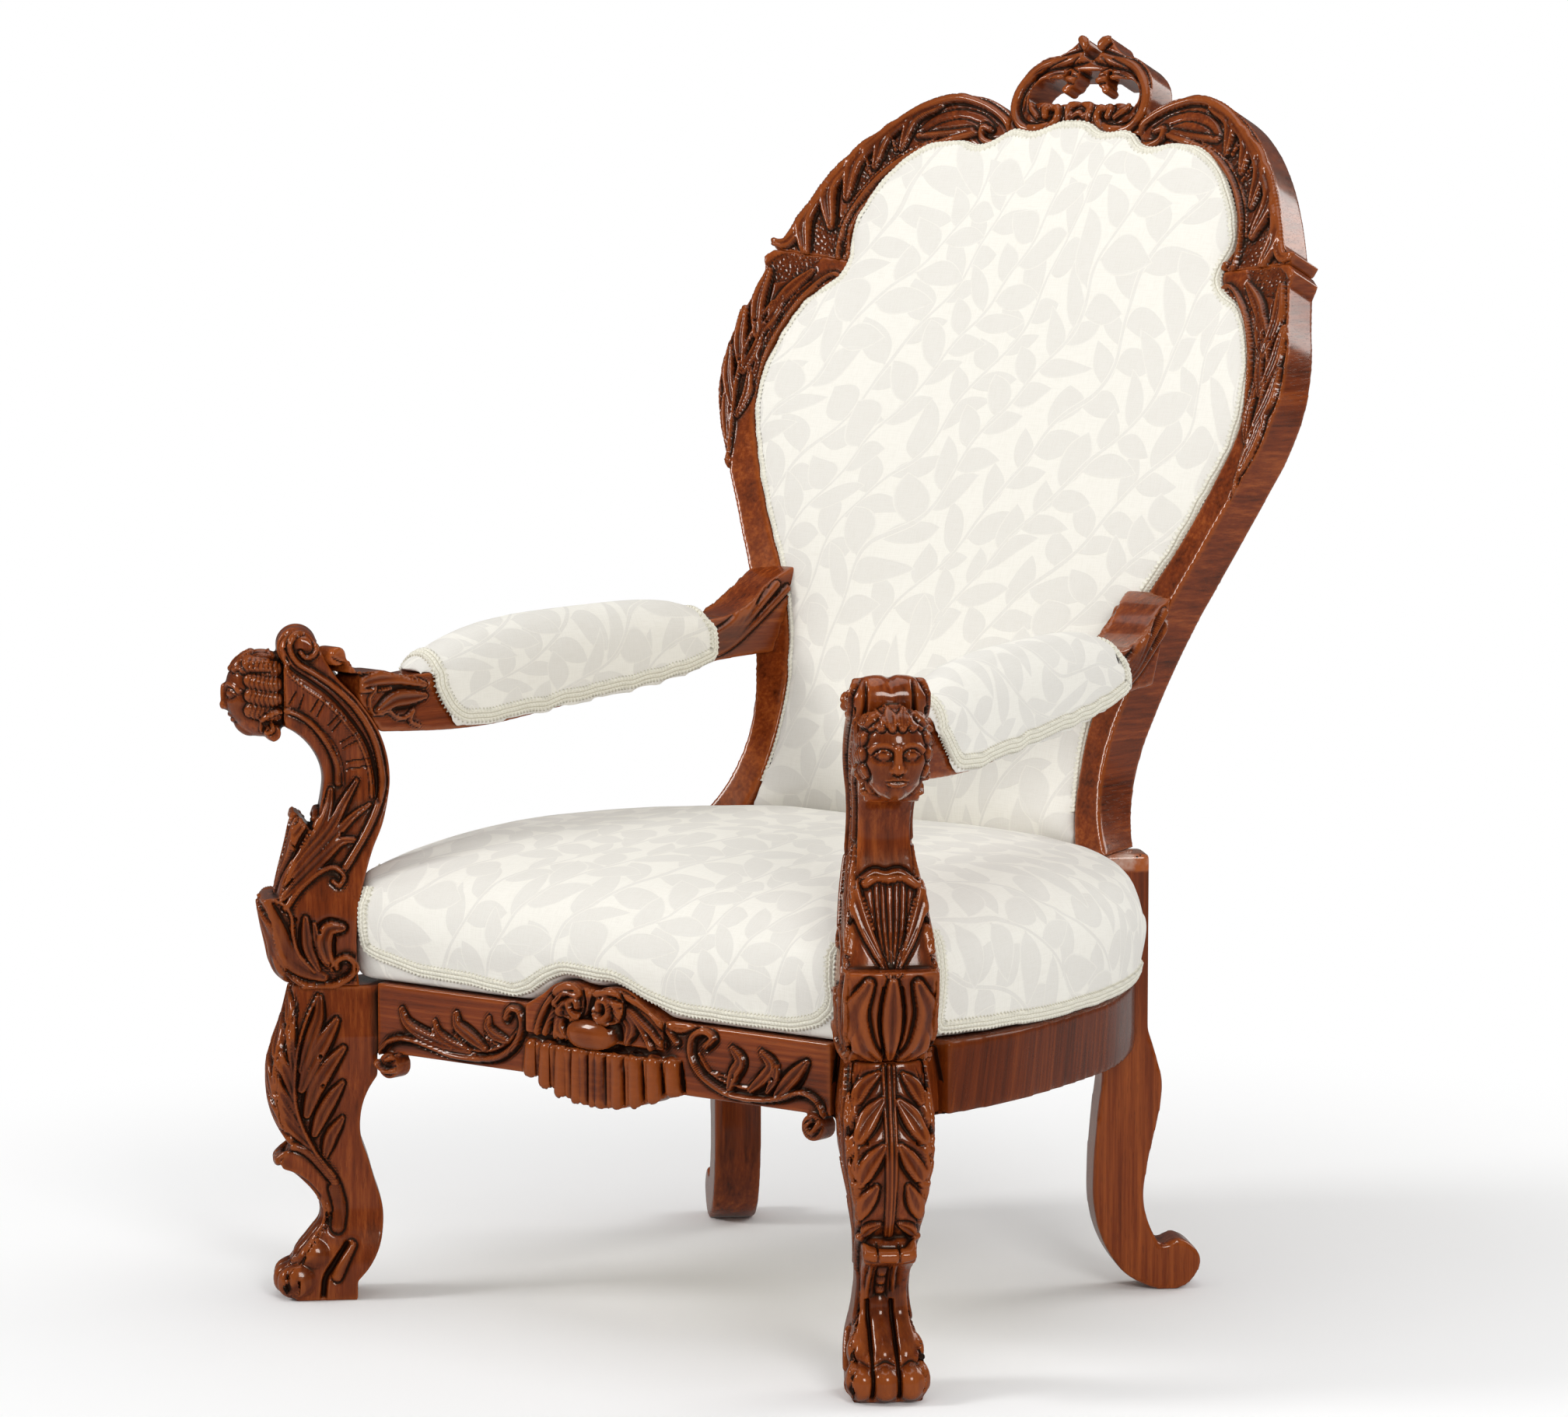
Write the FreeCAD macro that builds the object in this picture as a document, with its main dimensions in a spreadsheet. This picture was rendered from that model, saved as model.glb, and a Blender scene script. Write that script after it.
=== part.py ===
import FreeCAD, Part
import math
import os
from FreeCAD import Placement, Rotation, Vector

# Carved open armchair: cabriole front legs with paw feet, C-scroll arm supports, a raked and
# barrel-curved balloon back with a pierced crest, and stuffed seat, back and arm pads.
# X is across the chair, Y runs from front to back, Z is up from the floor, in millimetres.
# The origin is on the floor, in the middle of the chair's width and depth.
# The toe line joins the two front toes on the floor, and depths are measured back from it.

os.makedirs("parts", exist_ok=True)
doc = FreeCAD.newDocument("carved_armchair")

# Driving dimensions
SIZE_ROWS = [
    ("toe_half_spread", 350, "middle of the chair to each front toe"),
    ("origin_depth", 390, "toe line to the origin"),
    ("front_rail_face", 25, "toe line to the face of the front rail"),
    ("joint_half_spread", 267, "middle of the chair to the front rail's joint with a leg"),
    ("rail_bottom", 237, "underside of the seat rails"),
    ("rail_top", 302, "top of the seat rails, where the stuffing starts"),
    ("rail_thickness", 32, "thickness of the seat rails"),
    ("seat_half_width", 350, "middle of the chair to the side rails' widest place"),
    ("seat_depth", 505, "toe line to the end of the side rails"),
    ("clearance", 0.3, "gap left between pieces that don't bear on each other"),
    ("overrun", 400, "length of tools that cut right through"),
    ("leg_reach", 82, "front toe to the back of the leg's heel"),
    ("leg_height", 298, "height of the front leg"),
    ("leg_half_width", 34.5, "half the width of the front leg, across its diagonal"),
    ("block_width", 72, "leg block between the front and side rails"),
    ("toe_radius", 13, "round of each toe"),
    ("toe_spacing", 23, "spacing of the toes"),
    ("support_reach", 91, "toe to the back of the arm support"),
    ("support_height", 335, "height of the arm support above the leg"),
    ("support_half_width", 38, "half the width of the arm support"),
    ("top_volute_radius", 19, "scroll on top of the arm support"),
    ("top_volute_back", 6, "toe to the middle of that scroll"),
    ("chin_volute_radius", 8, "small scroll under the mask"),
    ("chin_volute_out", 17, "toe to the middle of the small scroll"),
    ("chin_volute_drop", 99, "top of the arm support down to the small scroll"),
    ("head_out", 27, "toe to the middle of the mask"),
    ("head_drop", 63, "top of the arm support down to the middle of the mask"),
    ("head_half_depth", 32, "mask, front to back"),
    ("head_half_width", 34, "mask, side to side"),
    ("head_half_height", 41, "mask, up and down"),
    ("cup_scroll_radius", 15, "scroll at the back of the cup leaf"),
    ("arm_front_half_spread", 300, "middle of the chair to the front of an arm"),
    ("arm_rear_half_spread", 228, "middle of the chair to the rear of an arm"),
    ("arm_front_depth", 60, "toe line to the place where the arm's length starts"),
    ("arm_rear_depth", 560, "toe line to the rear of an arm"),
    ("arm_length", 505, "length of the arm that its outline follows"),
    ("arm_base_height", 527, "floor to the lowest edge of the arms"),
    ("arm_rise", 128, "lowest edge of the arms to the tip of the ear"),
    ("arm_half_width", 22, "half the width of the arms"),
    ("arm_volute_radius", 9, "small scroll at the front of an arm"),
    ("arm_scroll_width", 26, "length of that scroll, across the arm"),
    ("pad_half_width", 30, "half the width of the arm pads"),
    ("pad_height", 106, "lowest edge to the top of the arm pads"),
    ("back_rake", 21.3, "lean of the back in degrees"),
    ("back_foot_depth", 508, "toe line to the face of the back where its length starts"),
    ("back_foot_height", 440, "floor to where the back's length starts"),
    ("back_length", 789, "back, along its rake"),
    ("back_half_width", 336, "half the width of the back"),
    ("barrel_radius", 1288, "round of the back's face"),
    ("foot_thickness", 57, "thickness of the back at its foot"),
    ("crest_thickness", 40, "thickness of the back at its crest"),
    ("slab_end", 80, "how far the back's blank runs past each end"),
    ("ledge_height", 415, "floor to the top of the rear legs, where the stiles stand"),
    ("bottom_rail_height", 45, "lower rail of the back"),
    ("cushion_crown", 28, "crown of the back cushion"),
    ("rear_foot_half_spread", 283, "middle of the chair to where a rear foot rests"),
    ("rear_foot_depth", 531, "toe line to where a rear foot rests"),
    ("rear_leg_reach", 76, "rear foot to the front edge of the rear leg"),
    ("rear_leg_thickness", 46, "thickness of the rear legs"),
    ("rear_rail_half_length", 215, "half the length of the rear rail's blank"),
    ("rear_rail_face", 500, "toe line to the face of the rear rail"),
    ("shell_offset", 8, "the carved shell stands this far off the middle"),
    ("shell_half_width", 95, "half the width of the shell"),
    ("shell_drop", 17, "shell below the rails"),
    ("shell_lobe_top", 31, "rail bottom up to the top of the shell's lobes"),
    ("shell_lobe_bow", 9, "how far the outer lobes stand back from the middle ones"),
    ("shell_lobes", 10, "number of lobes of the shell"),
    ("shell_rib_radius", 10.6, "round of each lobe, in plan"),
    ("heart_rise", 26, "heart above the rails"),
    ("heart_radius", 17, "round of each half of the heart"),
    ("heart_spread", 23, "middle of the heart to each half's middle"),
    ("heart_relief", 11, "how far the heart stands proud of the rail"),
    ("oval_half_width", 29, "boss under the heart"),
    ("oval_half_height", 13, "boss under the heart"),
    ("oval_height", 283, "floor to the middle of the boss"),
    ("end_volute_radius", 12, "scroll at each end of the front rail"),
    ("end_volute_inset", 17, "joint to the middle of that scroll"),
    ("end_volute_height", 226, "floor to the middle of that scroll"),
    ("dowel_radius", 5, "dowels of the frame"),
    ("dowel_length", 50, "dowels of the frame"),
    ("dowel_spacing", 32, "between the two dowels of a rail joint"),
    ("cloth_thickness", 1.6, "thickness of the undercloth and the outside back"),
    ("web_thickness", 2, "thickness of the webbing"),
    ("web_width", 48, "width of the webbing"),
    ("web_spacing", 92, "spacing of the webbing"),
    ("stuffing_height", 135, "rail top to the crown of the seat"),
    ("gusset_height", 44, "glue blocks inside the seat frame"),
    ("gusset_reach", 70, "glue blocks, along each rail"),
]

sheet = doc.addObject("Spreadsheet::Sheet", "sizes")
for row, (alias, value, note) in enumerate(SIZE_ROWS, start=1):
    sheet.set(f"A{row}", alias)
    sheet.set(f"B{row}", str(value))
    sheet.set(f"C{row}", note)
    sheet.setAlias(f"B{row}", alias)
doc.recompute()


def mm(alias):
    """The value of a named size."""
    return float(sheet.get(alias))


X_AXIS = Vector(1, 0, 0)
Z_AXIS = Vector(0, 0, 1)
toe_line = -mm("origin_depth")
UPRIGHT = Rotation(X_AXIS, 90)
RAKED = Rotation(X_AXIS, 90 - mm("back_rake"))


def upright(angle):
    """A standing sketch plane whose first axis points along the angle in plan."""
    return Rotation(Z_AXIS, angle) * UPRIGHT


def outline_points(table, across, along):
    """Points of a table of shares, in the two sizes that they follow."""
    return [Vector(a * across, b * along, 0) for a, b in table]


# Outlines
def arc_piece(start, direction, end):
    """The arc that leaves start along direction and reaches end, or a line if it is straight."""
    chord = end - start
    turn = math.atan2(
        chord.x * direction.y - chord.y * direction.x,
        chord.x * direction.x + chord.y * direction.y,
    )
    if abs(turn) < 1e-3:
        return Part.LineSegment(start, end)
    side = Vector(-chord.y, chord.x, 0) / 2
    return Part.Arc(start, (start + end) / 2 + side * math.tan(turn / 2), end)


def smooth_arcs(points):
    """Tangent arcs through the points, two for each gap between points."""
    heads = []
    for before, point, after in zip(points, points[1:], points[2:]):
        near, far = (point - before).Length, (after - point).Length
        way = (point - before) / near * far + (after - point) / far * near
        heads.append(way.normalize())
    heads.insert(0, mirrored_way(points[1] - points[0], heads[0]))
    heads.append(mirrored_way(points[-1] - points[-2], heads[-1]))
    pieces = []
    for start, end, leave, arrive in zip(points, points[1:], heads, heads[1:]):
        chord = end - start
        both = leave + arrive
        bend = 2 * (1 - leave.dot(arrive))
        pull = chord.dot(both)
        if bend < 1e-6:
            reach = chord.dot(chord) / (2 * pull)
        else:
            reach = (math.sqrt(pull * pull + bend * chord.dot(chord)) - pull) / bend
        middle = (start + end + (leave - arrive) * reach) / 2
        joint = (middle - start - leave * reach / 2)
        joint = joint.normalize() if joint.Length > 1e-6 else leave
        pieces.append(arc_piece(start, leave, middle))
        pieces.append(arc_piece(middle, mirrored_way(middle - start, leave), end))
    return pieces


def mirrored_way(chord, way):
    """The direction at the other end of an arc over this chord."""
    unit = Vector(chord).normalize()
    return (unit * (2 * way.dot(unit)) - way).normalize()


def stretch_pieces(points):
    """A straight line through two points, or tangent arcs through more."""
    if len(points) == 2:
        return [Part.LineSegment(points[0], points[1])]
    return smooth_arcs(points)


def placed(feature, turn, x=None, y=None, z=None):
    """Turn an object and bind its place to cells of the sheet."""
    feature.Placement = Placement(Vector(), turn)
    for axis, expression in (("x", x), ("y", y), ("z", z)):
        if expression:
            feature.setExpression(f"Placement.Base.{axis}", expression)
    return feature


def outline(name, stretches, turn=Rotation(), **place):
    """A closed sketch of stretches, each a list of points that starts where the last one ended."""
    sketch = doc.addObject("Sketcher::SketchObject", name + "_outline")
    for points in stretches:
        for piece in stretch_pieces(points):
            sketch.addGeometry(piece, False)
    return placed(sketch, turn, **place)


def chain(*tables):
    """Stretches from tables of points, each joined to the next by a straight line."""
    stretches = []
    end = None
    for table in tables:
        if end and (table[0] - end).Length > 1e-6:
            stretches.append([end, table[0]])
        if len(table) > 1:
            stretches.append(list(table))
        end = table[-1]
    return stretches


def closed(*tables):
    """A chain whose last table is joined to its first."""
    return chain(*tables, tables[0][:1])


def flipped(stretches):
    """The same run on the other side, in reverse order."""
    return [[Vector(-p.x, p.y, 0) for p in reversed(points)] for points in reversed(stretches)]


def both_sides(points):
    """A symmetric run: the points, and the same points mirrored in reverse order."""
    return list(points) + [Vector(-p.x, p.y, 0) for p in reversed(points)]


# Solids
def extruded(name, sketch, forward, symmetric=True, back=None):
    """A solid from a closed sketch, its length bound to the sheet."""
    solid = doc.addObject("Part::Extrusion", name)
    solid.Base = sketch
    solid.DirMode = "Normal"
    solid.Solid = True
    solid.Symmetric = symmetric
    solid.setExpression("LengthFwd", forward)
    if back:
        solid.setExpression("LengthRev", back)
    return solid


def common(name, first, second):
    """What two solids share."""
    solid = doc.addObject("Part::Common", name)
    solid.Base = first
    solid.Tool = second
    return solid


def cut(name, base, tool):
    """A solid without what a tool takes off."""
    solid = doc.addObject("Part::Cut", name)
    solid.Base = base
    solid.Tool = tool
    return solid


def fused(name, pieces):
    """Several solids as one."""
    solid = doc.addObject("Part::MultiFuse", name)
    solid.Shapes = pieces
    solid.Refine = True
    return solid


def cylinder(name, radius, height, turn, **place):
    """A round bar from its middle: radius and height are expressions."""
    bar = doc.addObject("Part::Cylinder", name)
    bar.setExpression("Radius", radius)
    bar.setExpression("Height", height)
    return placed(bar, turn, **place)


def block(name, length, width, height, **place):
    """A square block, its three sizes bound to the sheet."""
    box = doc.addObject("Part::Box", name)
    box.setExpression("Length", length)
    box.setExpression("Width", width)
    box.setExpression("Height", height)
    return placed(box, Rotation(), **place)


def shape_feature(name, shape):
    """A solid that the code shapes itself."""
    feature = doc.addObject("Part::Feature", name)
    feature.Shape = shape
    return feature


def mirrored(name, source):
    """The same piece on the chair's other side."""
    twin = doc.addObject("Part::Mirroring", name)
    twin.Source = source
    twin.Normal = X_AXIS
    return twin


NODES = {}


def node(name, feature):
    """Keep a finished piece under its name."""
    feature.Label = name
    NODES[name] = feature
    return feature


def pair(name, feature):
    """Keep a piece of the right side and its twin of the left."""
    node(name + "_right", feature)
    node(name + "_left", mirrored(name + "_left", feature))
    return feature


# Front legs: a diagonal board in side view and in front view, with the block between the rails
DIAGONAL = -45
ON_TOE = {"x": "sizes.toe_half_spread", "y": "-sizes.origin_depth"}

LEG_TOE_SHARES = [
    (0.05, 0), (0.19, 0.06), (0.09, 0.11), (-0.16, 0.185), (-0.33, 0.26),
    (-0.2, 0.355), (0.15, 0.415),
]
LEG_KNEE_SHARES = [(0.02, 0.49), (0.21, 0.58), (0.28, 0.73), (0.1, 0.9), (0.01, 1)]
LEG_BACK_SHARES = [
    (-0.94, 0.715), (-0.79, 0.64), (-0.74, 0.55), (-0.87, 0.41), (-1, 0.26),
    (-0.93, 0.15), (-0.7, 0.06),
]
LEG_TONGUE_SHARE = (0.22, 0.44)
LEG_WIDTH_SHARES = [(1, 1), (0.99, 0.8), (0.78, 0.47), (0.7, 0.28), (0.97, 0.1), (0.94, 0)]


def front_leg():
    """Side view, front view, block, toes and heel of a front leg."""
    reach, height = mm("leg_reach"), mm("leg_height")
    toe = outline_points(LEG_TOE_SHARES, reach, height)
    knee = outline_points(LEG_KNEE_SHARES, reach, height)
    back = outline_points(LEG_BACK_SHARES, reach, height)
    tongue = outline_points([LEG_TONGUE_SHARE], reach, height)
    top_back = [Vector(back[0].x, height, 0)]
    heel = [Vector(back[-1].x, 0, 0)]
    side = outline("leg_side", closed(toe, tongue, knee, top_back, back, heel), upright(DIAGONAL), **ON_TOE)
    width = both_sides(outline_points(LEG_WIDTH_SHARES, mm("leg_half_width"), height)[::-1])
    half = len(width) // 2
    front = outline("leg_front", closed(width[:half], width[half:]), upright(DIAGONAL + 90), **ON_TOE)
    board = common("leg_board", extruded("leg_side_solid", side, "2 * sizes.leg_half_width"),
                   extruded("leg_front_solid", front, "sizes.overrun"))
    corner = block("leg_block", "sizes.block_width", "sizes.block_width",
                   "sizes.leg_height - sizes.rail_bottom",
                   x="sizes.joint_half_spread", y=RAIL_FACE,
                   z="sizes.rail_bottom")
    toes = []
    for across in (-1, 0, 1):
        toe_ball = doc.addObject("Part::Sphere", "toe_ball")
        toe_ball.setExpression("Radius", "sizes.toe_radius")
        shift = f"{across} * sizes.toe_spacing / sqrt(2)"
        placed(toe_ball, Rotation(), x="sizes.toe_half_spread + " + shift,
               y="-sizes.origin_depth + " + shift, z="sizes.toe_radius")
        toes.append(toe_ball)
    return fused("front_leg", [board, corner] + toes)


# Arm supports: the C-scroll with its cup leaf, acanthus leaf, head and scrolls
SUPPORT_CUP_SHARES = [(-0.03, 0), (0.16, 0.04), (0.27, 0.135), (0.34, 0.245)]
SUPPORT_LEAF_SHARES = [(0.17, 0.25), (0.1, 0.33), (0.02, 0.42), (-0.04, 0.485)]
SUPPORT_THROAT_SHARES = [(-0.2, 0.43), (-0.29, 0.51), (-0.3, 0.6), (-0.17, 0.67), (0.07, 0.72)]
SUPPORT_BACK_SHARES = [
    (-0.3, 0.94), (-0.44, 0.87), (-0.7, 0.79), (-0.92, 0.69), (-1, 0.59),
    (-0.95, 0.48), (-0.78, 0.35), (-0.66, 0.2), (-0.67, 0),
]
SUPPORT_WIDTH_SHARES = [(0.97, 0), (0.99, 0.2), (0.92, 0.4), (0.71, 0.6), (0.88, 0.8), (0.9, 1)]
TOP_VOLUTE_WIDTH_SHARE = 0.9
CHIN_VOLUTE_WIDTH_SHARE = 0.74
CUP_SCROLL_BACK_SHARE = 0.62
CUP_SCROLL_LIFT_SHARE = 1.25
POST_DOWEL_SHARE = 0.33


def diagonal_place(out, across="0"):
    """Expressions for a place out from the toe along the diagonal, and across it."""
    return {
        "x": f"sizes.toe_half_spread + (({out}) + ({across})) / sqrt(2)",
        "y": f"-sizes.origin_depth - (({out}) - ({across})) / sqrt(2)",
    }


def cross_bar(name, radius, half_width, out, height):
    """A scroll that runs across a diagonal board."""
    return cylinder(name, radius, f"2 * ({half_width})", upright(DIAGONAL), z=height,
                    **diagonal_place(out, f"{half_width}"))


def arm_support():
    """Side view, front view, head and scrolls of an arm support."""
    reach, rise = mm("support_reach"), mm("support_height")
    cup, leaf, throat, back = (outline_points(table, reach, rise) for table in (
        SUPPORT_CUP_SHARES, SUPPORT_LEAF_SHARES, SUPPORT_THROAT_SHARES, SUPPORT_BACK_SHARES))
    brow = [Vector(throat[-1].x, back[0].y, 0)]
    side = outline("support_side", closed(cup, leaf, throat, brow, back), upright(DIAGONAL),
                   z="sizes.leg_height", **ON_TOE)
    width = both_sides(outline_points(SUPPORT_WIDTH_SHARES, mm("support_half_width"), rise))
    half = len(width) // 2
    front = outline("support_front", closed(width[:half], width[half:]), upright(DIAGONAL + 90),
                    z="sizes.leg_height", **ON_TOE)
    board = common("support_board", extruded("support_side_solid", side, "2 * sizes.support_half_width"),
                   extruded("support_front_solid", front, "sizes.overrun"))
    head = doc.addObject("Part::Ellipsoid", "mask_head")
    head.setExpression("Radius1", "sizes.head_half_height")
    head.setExpression("Radius2", "sizes.head_half_depth")
    head.setExpression("Radius3", "sizes.head_half_width")
    placed(head, Rotation(Z_AXIS, DIAGONAL), z="sizes.leg_height + sizes.support_height - sizes.head_drop",
           **diagonal_place("sizes.head_out"))
    top = "sizes.leg_height + sizes.support_height"
    scroll = cross_bar("top_volute", "sizes.top_volute_radius",
                       f"{TOP_VOLUTE_WIDTH_SHARE} * sizes.support_half_width",
                       "-sizes.top_volute_back", top + " - sizes.top_volute_radius")
    chin = cross_bar("chin_volute", "sizes.chin_volute_radius",
                     f"{CHIN_VOLUTE_WIDTH_SHARE} * sizes.support_half_width",
                     "sizes.chin_volute_out", top + " - sizes.chin_volute_drop")
    cup_scroll = cross_bar("cup_scroll", "sizes.cup_scroll_radius", "sizes.support_half_width",
                           f"sizes.cup_scroll_radius - {CUP_SCROLL_BACK_SHARE} * sizes.support_reach",
                           f"sizes.leg_height + {CUP_SCROLL_LIFT_SHARE} * sizes.cup_scroll_radius")
    return fused("arm_support", [board, head, scroll, chin, cup_scroll])


# Back frame: raked outlines, cut to a barrel-curved slab that is thinner at the crest
BACK_PLACE = {"y": "sizes.back_foot_depth - sizes.origin_depth", "z": "sizes.back_foot_height"}

STILE_OUTER_SHARES = [
    (0.78, -0.076), (0.723, -0.044), (0.676, -0.009), (0.64, 0.047), (0.64, 0.101),
    (0.667, 0.156), (0.747, 0.26), (0.83, 0.337), (0.917, 0.416), (0.973, 0.47),
    (1, 0.525), (0.991, 0.578), (0.955, 0.634), (0.937, 0.665),
]
STILE_HORN_SHARES = [(0.949, 0.682), (0.92, 0.693)]
STILE_INNER_SHARES = [
    (0.67, 0.677), (0.69, 0.664), (0.774, 0.639), (0.836, 0.592), (0.869, 0.529),
    (0.863, 0.475), (0.821, 0.423), (0.741, 0.345), (0.64, 0.265), (0.56, 0.16),
    (0.55, 0.055), (0.568, 0.001), (0.6, -0.04), (0.637, -0.076),
]
SHOULDER_HORN_SHARES = [(0.937, 0.706), (0.902, 0.709)]
SHOULDER_OUTER_SHARES = [
    (0.884, 0.717), (0.842, 0.759), (0.769, 0.815), (0.691, 0.857), (0.606, 0.888),
    (0.515, 0.908), (0.417, 0.918), (0.318, 0.913), (0.241, 0.895),
]
SHOULDER_VOLUTE_SHARES = [(0.235, 0.868), (0.256, 0.856), (0.3, 0.849), (0.342, 0.85), (0.366, 0.858)]
SHOULDER_INNER_SHARES = [(0.458, 0.853), (0.55, 0.833), (0.631, 0.792), (0.685, 0.739), (0.693, 0.717),
                         (0.67, 0.701)]
CREST_UNDER_SHARES = [(0, 0.885), (0.071, 0.881), (0.101, 0.871), (0.143, 0.869), (0.199, 0.873),
                      (0.235, 0.868)]
CREST_SIDE_SHARES = [(0.241, 0.895), (0.243, 0.92), (0.22, 0.951), (0.176, 0.968), (0.1, 0.979),
                     (0.068, 0.99), (0.05, 1)]
CREST_NOTCH_SHARES = [(0.03, 0.986), (0.033, 0.971), (0, 0.969)]
CREST_HOLE_SHARES = [(0, 0.911), (0.06, 0.91), (0.092, 0.906), (0.128, 0.912), (0.164, 0.91), (0.19, 0.906)]
CREST_CURL_SHARES = [(0.197, 0.914), (0.193, 0.929), (0.167, 0.941), (0.128, 0.944), (0.089, 0.943)]
CREST_BAR_SHARES = [(0.08, 0.955), (0, 0.955)]

joint_outer_share = STILE_HORN_SHARES[-1]
joint_inner_share = (0.67, 0.688)


def back_points(table):
    """Points of the back's outlines."""
    return outline_points(table, mm("back_half_width"), mm("back_length"))


def stile_stretches():
    """Outline of the right stile, from its foot up its outer edge and down its inner edge."""
    outer, horn = back_points(STILE_OUTER_SHARES), back_points(STILE_HORN_SHARES)
    inner = back_points(STILE_INNER_SHARES)
    return closed(outer, [horn[0]], [horn[1]], back_points([joint_inner_share]), inner)


def shoulder_stretches():
    """Outline of the right shoulder, from its joint with the stile to its joint with the crest."""
    horn = back_points(SHOULDER_HORN_SHARES)
    return closed(back_points([joint_outer_share]), [horn[0]], [horn[1]], back_points(SHOULDER_OUTER_SHARES),
                  back_points(SHOULDER_VOLUTE_SHARES), back_points(SHOULDER_INNER_SHARES),
                  back_points([joint_inner_share]))


def halves(*tables):
    """A closed outline from the tables of its right half, which run from axis to axis."""
    right = chain(*tables)
    return right + flipped(right)


def thickness_at(along):
    """Thickness of the back at a place along its rake."""
    share = along / mm("back_length")
    return mm("foot_thickness") + (mm("crest_thickness") - mm("foot_thickness")) * share


def barrel_arc(half, depth):
    """Three points of the back's curve, this far behind its face."""
    radius = mm("barrel_radius")
    side = radius - math.sqrt((radius + depth) ** 2 - half ** 2)
    return Vector(-half, 0, side), Vector(0, 0, -depth), Vector(half, 0, side)


def lifted(points, along):
    """The points, moved along the rake."""
    return [Vector(p.x, along, p.z) for p in points]


def slice_wire(half, along, front, back):
    """A curved slice of the back, across it, between two depths."""
    a, b, c = lifted(barrel_arc(half, front), along)
    d, e, f = lifted(barrel_arc(half, back), along)
    edges = [Part.Arc(a, b, c).toShape(), Part.LineSegment(c, f).toShape(),
             Part.Arc(f, e, d).toShape(), Part.LineSegment(d, a).toShape()]
    return Part.Wire(edges)


def back_layer(name, front_share, back_share, front_extra=0.0, back_extra=0.0):
    """A curved sheet of the back, between two shares of its thickness."""
    half = mm("back_half_width") + mm("slab_end")
    wires = []
    for along in (-mm("slab_end"), mm("back_length") + mm("slab_end")):
        depth = thickness_at(along)
        wires.append(slice_wire(half, along, front_share * depth + front_extra,
                                back_share * depth + back_extra))
    feature = shape_feature(name, Part.makeLoft(wires, True, True))
    return placed(feature, RAKED, **BACK_PLACE)


def raked_solid(name, stretches):
    """An outline of the back, run right through along the rake's normal."""
    return extruded(name + "_solid", outline(name, stretches, RAKED, **BACK_PLACE), "sizes.overrun")


def opening_stretches(inset, straight=False):
    """The opening inside the back frame, drawn in by an inset, smooth or in straight lines."""
    tables = (STILE_INNER_SHARES, SHOULDER_INNER_SHARES, SHOULDER_VOLUTE_SHARES[1:], CREST_UNDER_SHARES)
    edges = [back_points(table)[::-1] for table in tables]
    whole = drawn_in([point for edge in edges for point in edge], inset)
    moved = []
    for edge in edges:
        moved.append(whole[:len(edge)])
        whole = whole[len(edge):]
    moved[-1][-1].x = 0
    if straight:
        moved = [[point] for edge in moved for point in edge]
    right = chain(*moved)
    return right + flipped(right) + [[flipped(right)[-1][-1], right[0][0]]]


def drawn_in(points, inset):
    """Points of an inner edge, each moved towards the opening."""
    moved = []
    for i, point in enumerate(points):
        way = points[min(i + 1, len(points) - 1)] - points[max(i - 1, 0)]
        side = Vector(-way.y, way.x, 0).normalize()
        moved.append(point + side * inset)
    return moved


def back_frame():
    """Stiles, shoulders, crest and lower rail of the back."""
    slab = back_layer("back_slab", 0, 1)
    below = block("below_ledge", "4 * sizes.overrun", "4 * sizes.overrun", "sizes.ledge_height",
                  x="-2 * sizes.overrun", y="-2 * sizes.overrun")
    stile = cut("stile", common("stile_blank", raked_solid("stile", stile_stretches()), slab), below)
    shoulder = common("shoulder", raked_solid("shoulder", shoulder_stretches()), slab)
    notch = [[p] for p in back_points(CREST_NOTCH_SHARES)]
    crest_edge = halves(back_points(CREST_UNDER_SHARES), back_points(CREST_SIDE_SHARES), *notch)
    bar = [[p] for p in back_points(CREST_BAR_SHARES)]
    crest_hole = halves(*(back_points(t) for t in (CREST_HOLE_SHARES, CREST_CURL_SHARES)), *bar)
    crest = cut("crest", common("crest_whole", raked_solid("crest", crest_edge), slab),
                raked_solid("crest_hole", crest_hole))
    foot, half, head = -mm("slab_end"), mm("back_half_width"), mm("bottom_rail_height")
    band = [Vector(half, foot, 0), Vector(half, head, 0), Vector(-half, head, 0), Vector(-half, foot, 0)]
    rail = common("lower_rail_band", raked_solid("lower_rail", closed(*[[p] for p in band])),
                  back_layer("lower_rail_layer", LOWER_RAIL_SHARES[0], LOWER_RAIL_SHARES[1]))
    rail = cut("lower_rail_up", rail, below)
    outside = raked_solid("stile_side", outer_side_stretches())
    rail = cut("lower_rail_ended", rail, fused("stile_sides",
                                               [outside, mirrored("stile_side_left", outside)]))
    return stile, shoulder, crest, rail


LOWER_RAIL_SHARES = (0.5, 0.84)
OUTSIDE_BACK_SHARE = 0.86
BACK_WEB_SHARE = 0.45
CUSHION_BACK_SHARE = 0.43


def outer_side_stretches():
    """Everything outside the inner edge of the right stile."""
    inner = back_points(STILE_INNER_SHARES)
    far = mm("back_half_width") + mm("slab_end")
    return closed(inner, [Vector(far, inner[-1].y, 0)], [Vector(far, inner[0].y, 0)])


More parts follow.
